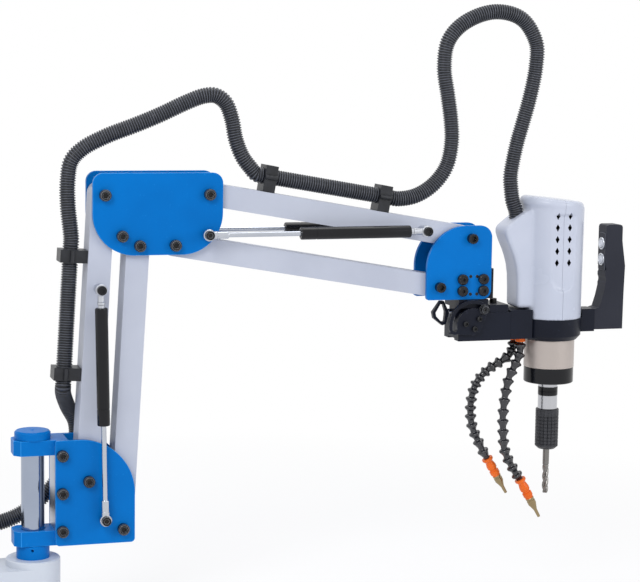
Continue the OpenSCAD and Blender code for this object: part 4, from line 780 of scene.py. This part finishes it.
def gas_springs(name, tube_stud, rod_stud, tube_body, rod_body):
    """Both gas springs of one arm: black tubes, silver ends and silver rods with their eyes."""
    way = (rod_stud - tube_stud).normalized()
    reach = (rod_stud - tube_stud).length / MM - NECK - 62
    tubes, ends, rods = bmesh.new(), bmesh.new(), bmesh.new()
    for y in (-SPRING_Y, SPRING_Y):
        root = tube_stud + Vector((0, y * MM, 0))
        tip = rod_stud + Vector((0, y * MM, 0))
        end = NECK + TUBE
        tube = spun([(0, NECK - 0.5), (8.8, NECK - 0.5), (10.3, NECK + 0.4), (11, NECK + 2),
                     (11, end - 30), (10.5, end - 29.5), (10.5, end - 28), (11, end - 27.5),
                     (11, end - 2), (10.4, end - 0.6), (9, end), (5.4, end), (5.4, end - 5),
                     (0, end - 5)], 40)
        join(tubes, placed(tube, facing(root, way)))
        neck = spun([(0, 7), (5.7, 7), (5.7, 20), (6.9, 21), (6.9, 25), (6, 26), (6, NECK), (0, NECK)],
                    32)
        join(ends, placed(neck, facing(root, way)))
        join(ends, placed(spring_eye(), Matrix.Translation(root)))
        rod = spun([(0, 7), (7.4, 7), (7.4, 14), (6.7, 15), (6.7, 33.6), (5.9, 35), (4.4, 35),
                    (4.4, reach - 1), (3.6, reach), (0, reach)], 32)
        join(rods, placed(rod, facing(tip, -way)))
        join(rods, placed(spring_eye(), Matrix.Translation(tip)))
    piece(name + "_tubes", tubes, tube_body, "gloss",
          [name + "_spring_cylinders"], 30)
    piece(name + "_tube_ends", ends, tube_body, "zinc", (), 30)
    piece(name + "_rods", rods, rod_body, "rod",
          [name + "_spring_rods"], 30)


# ---- Tap ----

FLUTES, TWIST, FLUTE_END = 3, 0.12, 54


def tap_with_flutes():
    """Machine tap: shank, thread and flutes that wind round it."""
    bm = bmesh.new()
    ring = bmesh.ops.create_circle(bm, cap_ends=False, radius=1.0, segments=48)["verts"]
    edges = list({e for v in ring for e in v.link_edges})
    levels = [(0, 4.2)] + [(i * 1.0, min(6.0, 4.6 + i * 0.2)) for i in range(1, 52)] + [
        (FLUTE_END, 5.2), (FLUTE_END + 1, 5.2)]
    base = [v.co.copy() for v in ring]
    rows = [ring]
    for _ in levels[1:]:
        made = bmesh.ops.extrude_edge_only(bm, edges=edges)["geom"]
        edges = [g for g in made if isinstance(g, bmesh.types.BMEdge)]
        rows.append([g for g in made if isinstance(g, bmesh.types.BMVert)])
    for (z, radius), row in zip(levels, rows):
        fade = max(0.0, min(1.0, (FLUTE_END - z) / 12))
        for v, flat in zip(row, base):
            spoke = cos(flat.xy.angle_signed(Vector((1, 0)), 0) * FLUTES) * 0.5 + 0.5
            r = radius * (1 - 0.5 * fade * spoke ** 1.6)
            v.co = Matrix.Rotation(z * TWIST, 3, "Z") @ Vector((flat.x * r, flat.y * r, z)) * MM
    bmesh.ops.holes_fill(bm, edges=[e for e in bm.edges if len(e.link_faces) == 1], sides=0)
    bmesh.ops.recalc_face_normals(bm, faces=bm.faces)
    join(bm, spun([(0, FLUTE_END), (5.2, FLUTE_END), (6, FLUTE_END + 1), (6, 122), (0, 122)], 32))
    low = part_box("tap")[0].z
    piece("tap_cutter", placed(bm, Matrix.Translation((TOOL_X, 0, low))), "spindle", "tap",
          ["tap"], 35, False)


# ---- Chuck ----

def chuck():
    """Chuck sleeve with its black band, and the grooved collet below it."""
    place = Matrix.Translation((TOOL_X, 0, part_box("chuck_sleeve")[0].z))
    sleeve = spun([(0, 0), (17, 0), (18, 1), (18, 25.6), (17.4, 26.2), (17.4, 41.8), (18, 42.4),
                   (18, 51), (16.6, 51.2), (16.6, 56), (0, 56)], 96)
    piece("chuck_sleeve_turned", placed(sleeve, place), "spindle", "sleeve",
          ["chuck_sleeve"], 30)
    band = spun([(17.2, 26.4), (18.1, 26.4), (18.4, 26.8), (18.4, 33.2), (18.0, 33.6), (18.4, 34),
                 (18.4, 41.2), (18.1, 41.6), (17.2, 41.6)], 96, closed=True)
    piece("chuck_band", placed(band, place), "spindle", "gloss", (), 30)
    length, grooves = 75.5, []
    for k in range(9):
        z = 9 + k * 6.4
        grooves += [(21.5, z), (20.7, z + 0.6), (20.7, z + 1.4), (21.5, z + 2)]
    collet = spun([(5.5, 0), (15, 0), (16, 0.6), (21, 5), (21.5, 5.6)] + grooves
                  + [(21.5, length - 0.8), (20.7, length), (0, length)], 144)
    for v in collet.verts:
        turn = Vector((1, 0)).angle_signed(v.co.xy, 0) if v.co.xy.length > 0.02 else 1
        if 6 < v.co.z / MM < length - 4 and abs(turn % radians(20) - radians(10)) < radians(1.3):
            v.co.xy *= 0.95
    low = Matrix.Translation((TOOL_X, 0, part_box("tap_collet")[0].z))
    piece("tap_collet_knurled", placed(collet, low), "spindle", "knurl",
          ["tap_collet"], 25)


# ---- Buttons ----

def buttons():
    """Framed plate on the grip with two ringed buttons."""
    face_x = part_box("button_bezels")[1].x
    holes = bmesh.new()
    for name in ("upper", "lower"):
        low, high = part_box("button_" + name)
        place = (Matrix.Translation((face_x, 0, (low.z + high.z) / 2))
                 @ Matrix.Rotation(-pi / 2, 4, "Y"))
        bezel = spun([(8.2, -0.2), (8.2, 2.0), (8.8, 3.0), (10.2, 3.2), (11.2, 2.6), (11.7, 1.4),
                      (11.7, -0.2)], 56, closed=True)
        piece(f"button_ring_{name}", placed(bezel, place), "head", "zinc",
              ["button_bezels"], 40)
        cap = spun([(0, -9), (7.5, -9), (7.5, 2.6), (7.1, 3.4), (5.2, 3.7), (4.8, 3.2),
                    (4.3, 3.2), (3.9, 3.8), (0, 4.0)], 48)
        piece(f"button_cap_{name}", placed(cap, place),
              "button_a" if name == "upper" else "button_b", "button",
              ["button_" + name], 30)
        join(holes, placed(spun([(0, -4), (8.1, -4), (8.1, 4), (0, 4)], 48), place))
    middle = (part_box("button_upper")[0].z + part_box("button_lower")[1].z) / 2
    plate = bmesh.new()
    bmesh.ops.create_cube(plate, size=1, matrix=Matrix.Translation((face_x, 0, middle))
                          @ Matrix.Diagonal((1.6 * MM, 28 * MM, 70 * MM, 1)))
    soften(plate, 3, 4, 32, lambda e: abs(e.verts[0].co.x - e.verts[1].co.x) > 1 * MM)
    # The plate's small rounded edges take the lighter grip paint: a painted highlight.
    for f in soften(plate, 0.6, 2):
        f.material_index = 1
    plate = difference(plate, "plate", holes)
    piece("button_plate", plate, "head", "grip", (), 30, True, ["grip painted highlight"])


# ---- The machine ----

spine = [Vector((45.5, 0, 256.9 + rise)) * MM for rise in (-66, 0, 66)]
wrist_foot = WRIST.z - (87 + 23.5) * MM
block_bolts = [Vector((SWIVEL_X + x * MM, 0, wrist_foot + z * MM))
               for x in (-19.5, 20.5) for z in (15.5, 36.5)]
back_step = Vector((-PIVOT_STEP.x, 0, PIVOT_STEP.z))
HEADS = {
    "shoulder_fasteners": ([SHOULDER, SHOULDER + PIVOT_STEP, *spine], 9, 10),
    "elbow_fasteners": ([ELBOW, ELBOW + PIVOT_STEP, ARM_ROOT, ARM_ROOT + back_step,
                         ELBOW + Vector((29.6, 0, -70)) * MM], 9, 10),
    "wrist_fasteners": (block_bolts, 6.5, 9.6),
}
SECOND_PAINT = {
    "link_a_studs": ("zinc", lambda c: abs(c.y) < 44 * MM),
    "link_c_studs": ("zinc", lambda c: abs(c.y) < 44 * MM),
}

conduit()
air_hose("hose_rear_beads", REAR_LINE, 12, "hose_rear")
air_hose("hose_front_beads", FRONT_LINE, -14, "hose_front")
motor_cover()
gas_springs("lower", pivot["lower_cylinder_eye"], pivot["lower_rod_eye"], "lower_cylinders",
            "lower_rods")
gas_springs("upper", pivot["upper_cylinder_eye"], pivot["upper_rod_eye"], "upper_cylinders",
            "upper_rods")
chuck()
buttons()
tap_with_flutes()

DRESSED = [
    ("casting", 2.5, 3, None, ["base_casting"]),
    ("conduit", 0.8, 2, None, ["conduit_gland", "lower_clips", "upper_clips"]),
    ("shaft", 0.3, 1, None, ["column_shaft"]),
    # The lighter blue on these parts' rounded edges is a painted highlight.
    ("blue", 0.7, 2, "blue painted highlight", ["column_collar", "column_cap", "bearing_blocks",
                                   "shoulder_plate_front", "shoulder_plate_rear",
                                   "elbow_plate_front", "elbow_plate_rear",
                                   "wrist_plate_front", "wrist_plate_rear"]),
    ("alloy", 0.5, 2, None, ["turret_spine"]),
    # The light grey on the screws' rounded rims is a painted highlight.
    ("screw", 0.5, 2, "screw painted highlight", ["cap_bolt", "shoulder_fasteners", "link_a_studs",
                                     "elbow_fasteners", "link_c_studs", "wrist_fasteners",
                                     "clamp_screw", "tilt_pin", "head_screws"]),
    ("arm", 1.6, 3, None, ["lower_link_a", "lower_link_b", "upper_link_c", "upper_link_d"]),
    ("gloss", 0.6, 2, None, ["reducer_ring"]),
    ("zinc", 0.5, 2, None, ["plunger_body"]),
    # The light grey on the sector plate's rounded edges is a painted highlight.
    ("anodised", 1.3, 2, "anodised painted highlight", ["sector_plate"]),
    ("anodised", 0.7, 2, None, ["wrist_block", "swivel_bracket", "head_bar", "motor_bracket",
                                "handle_block"]),
    ("anodised", 1.6, 3, None, ["loop_handle"]),
    ("dark", 0.5, 1, None, ["servo_motor"]),
    ("reducer", 0.4, 2, None, ["reducer"]),
    ("grip", 4.0, 4, None, ["hand_grip"]),
]
# A named edge paint is a painted highlight on the rounded edges.
for paint, width, segments, highlight_paint, names in DRESSED:
    for node in names:
        dressed(node, paint, width, segments, highlight_paint)
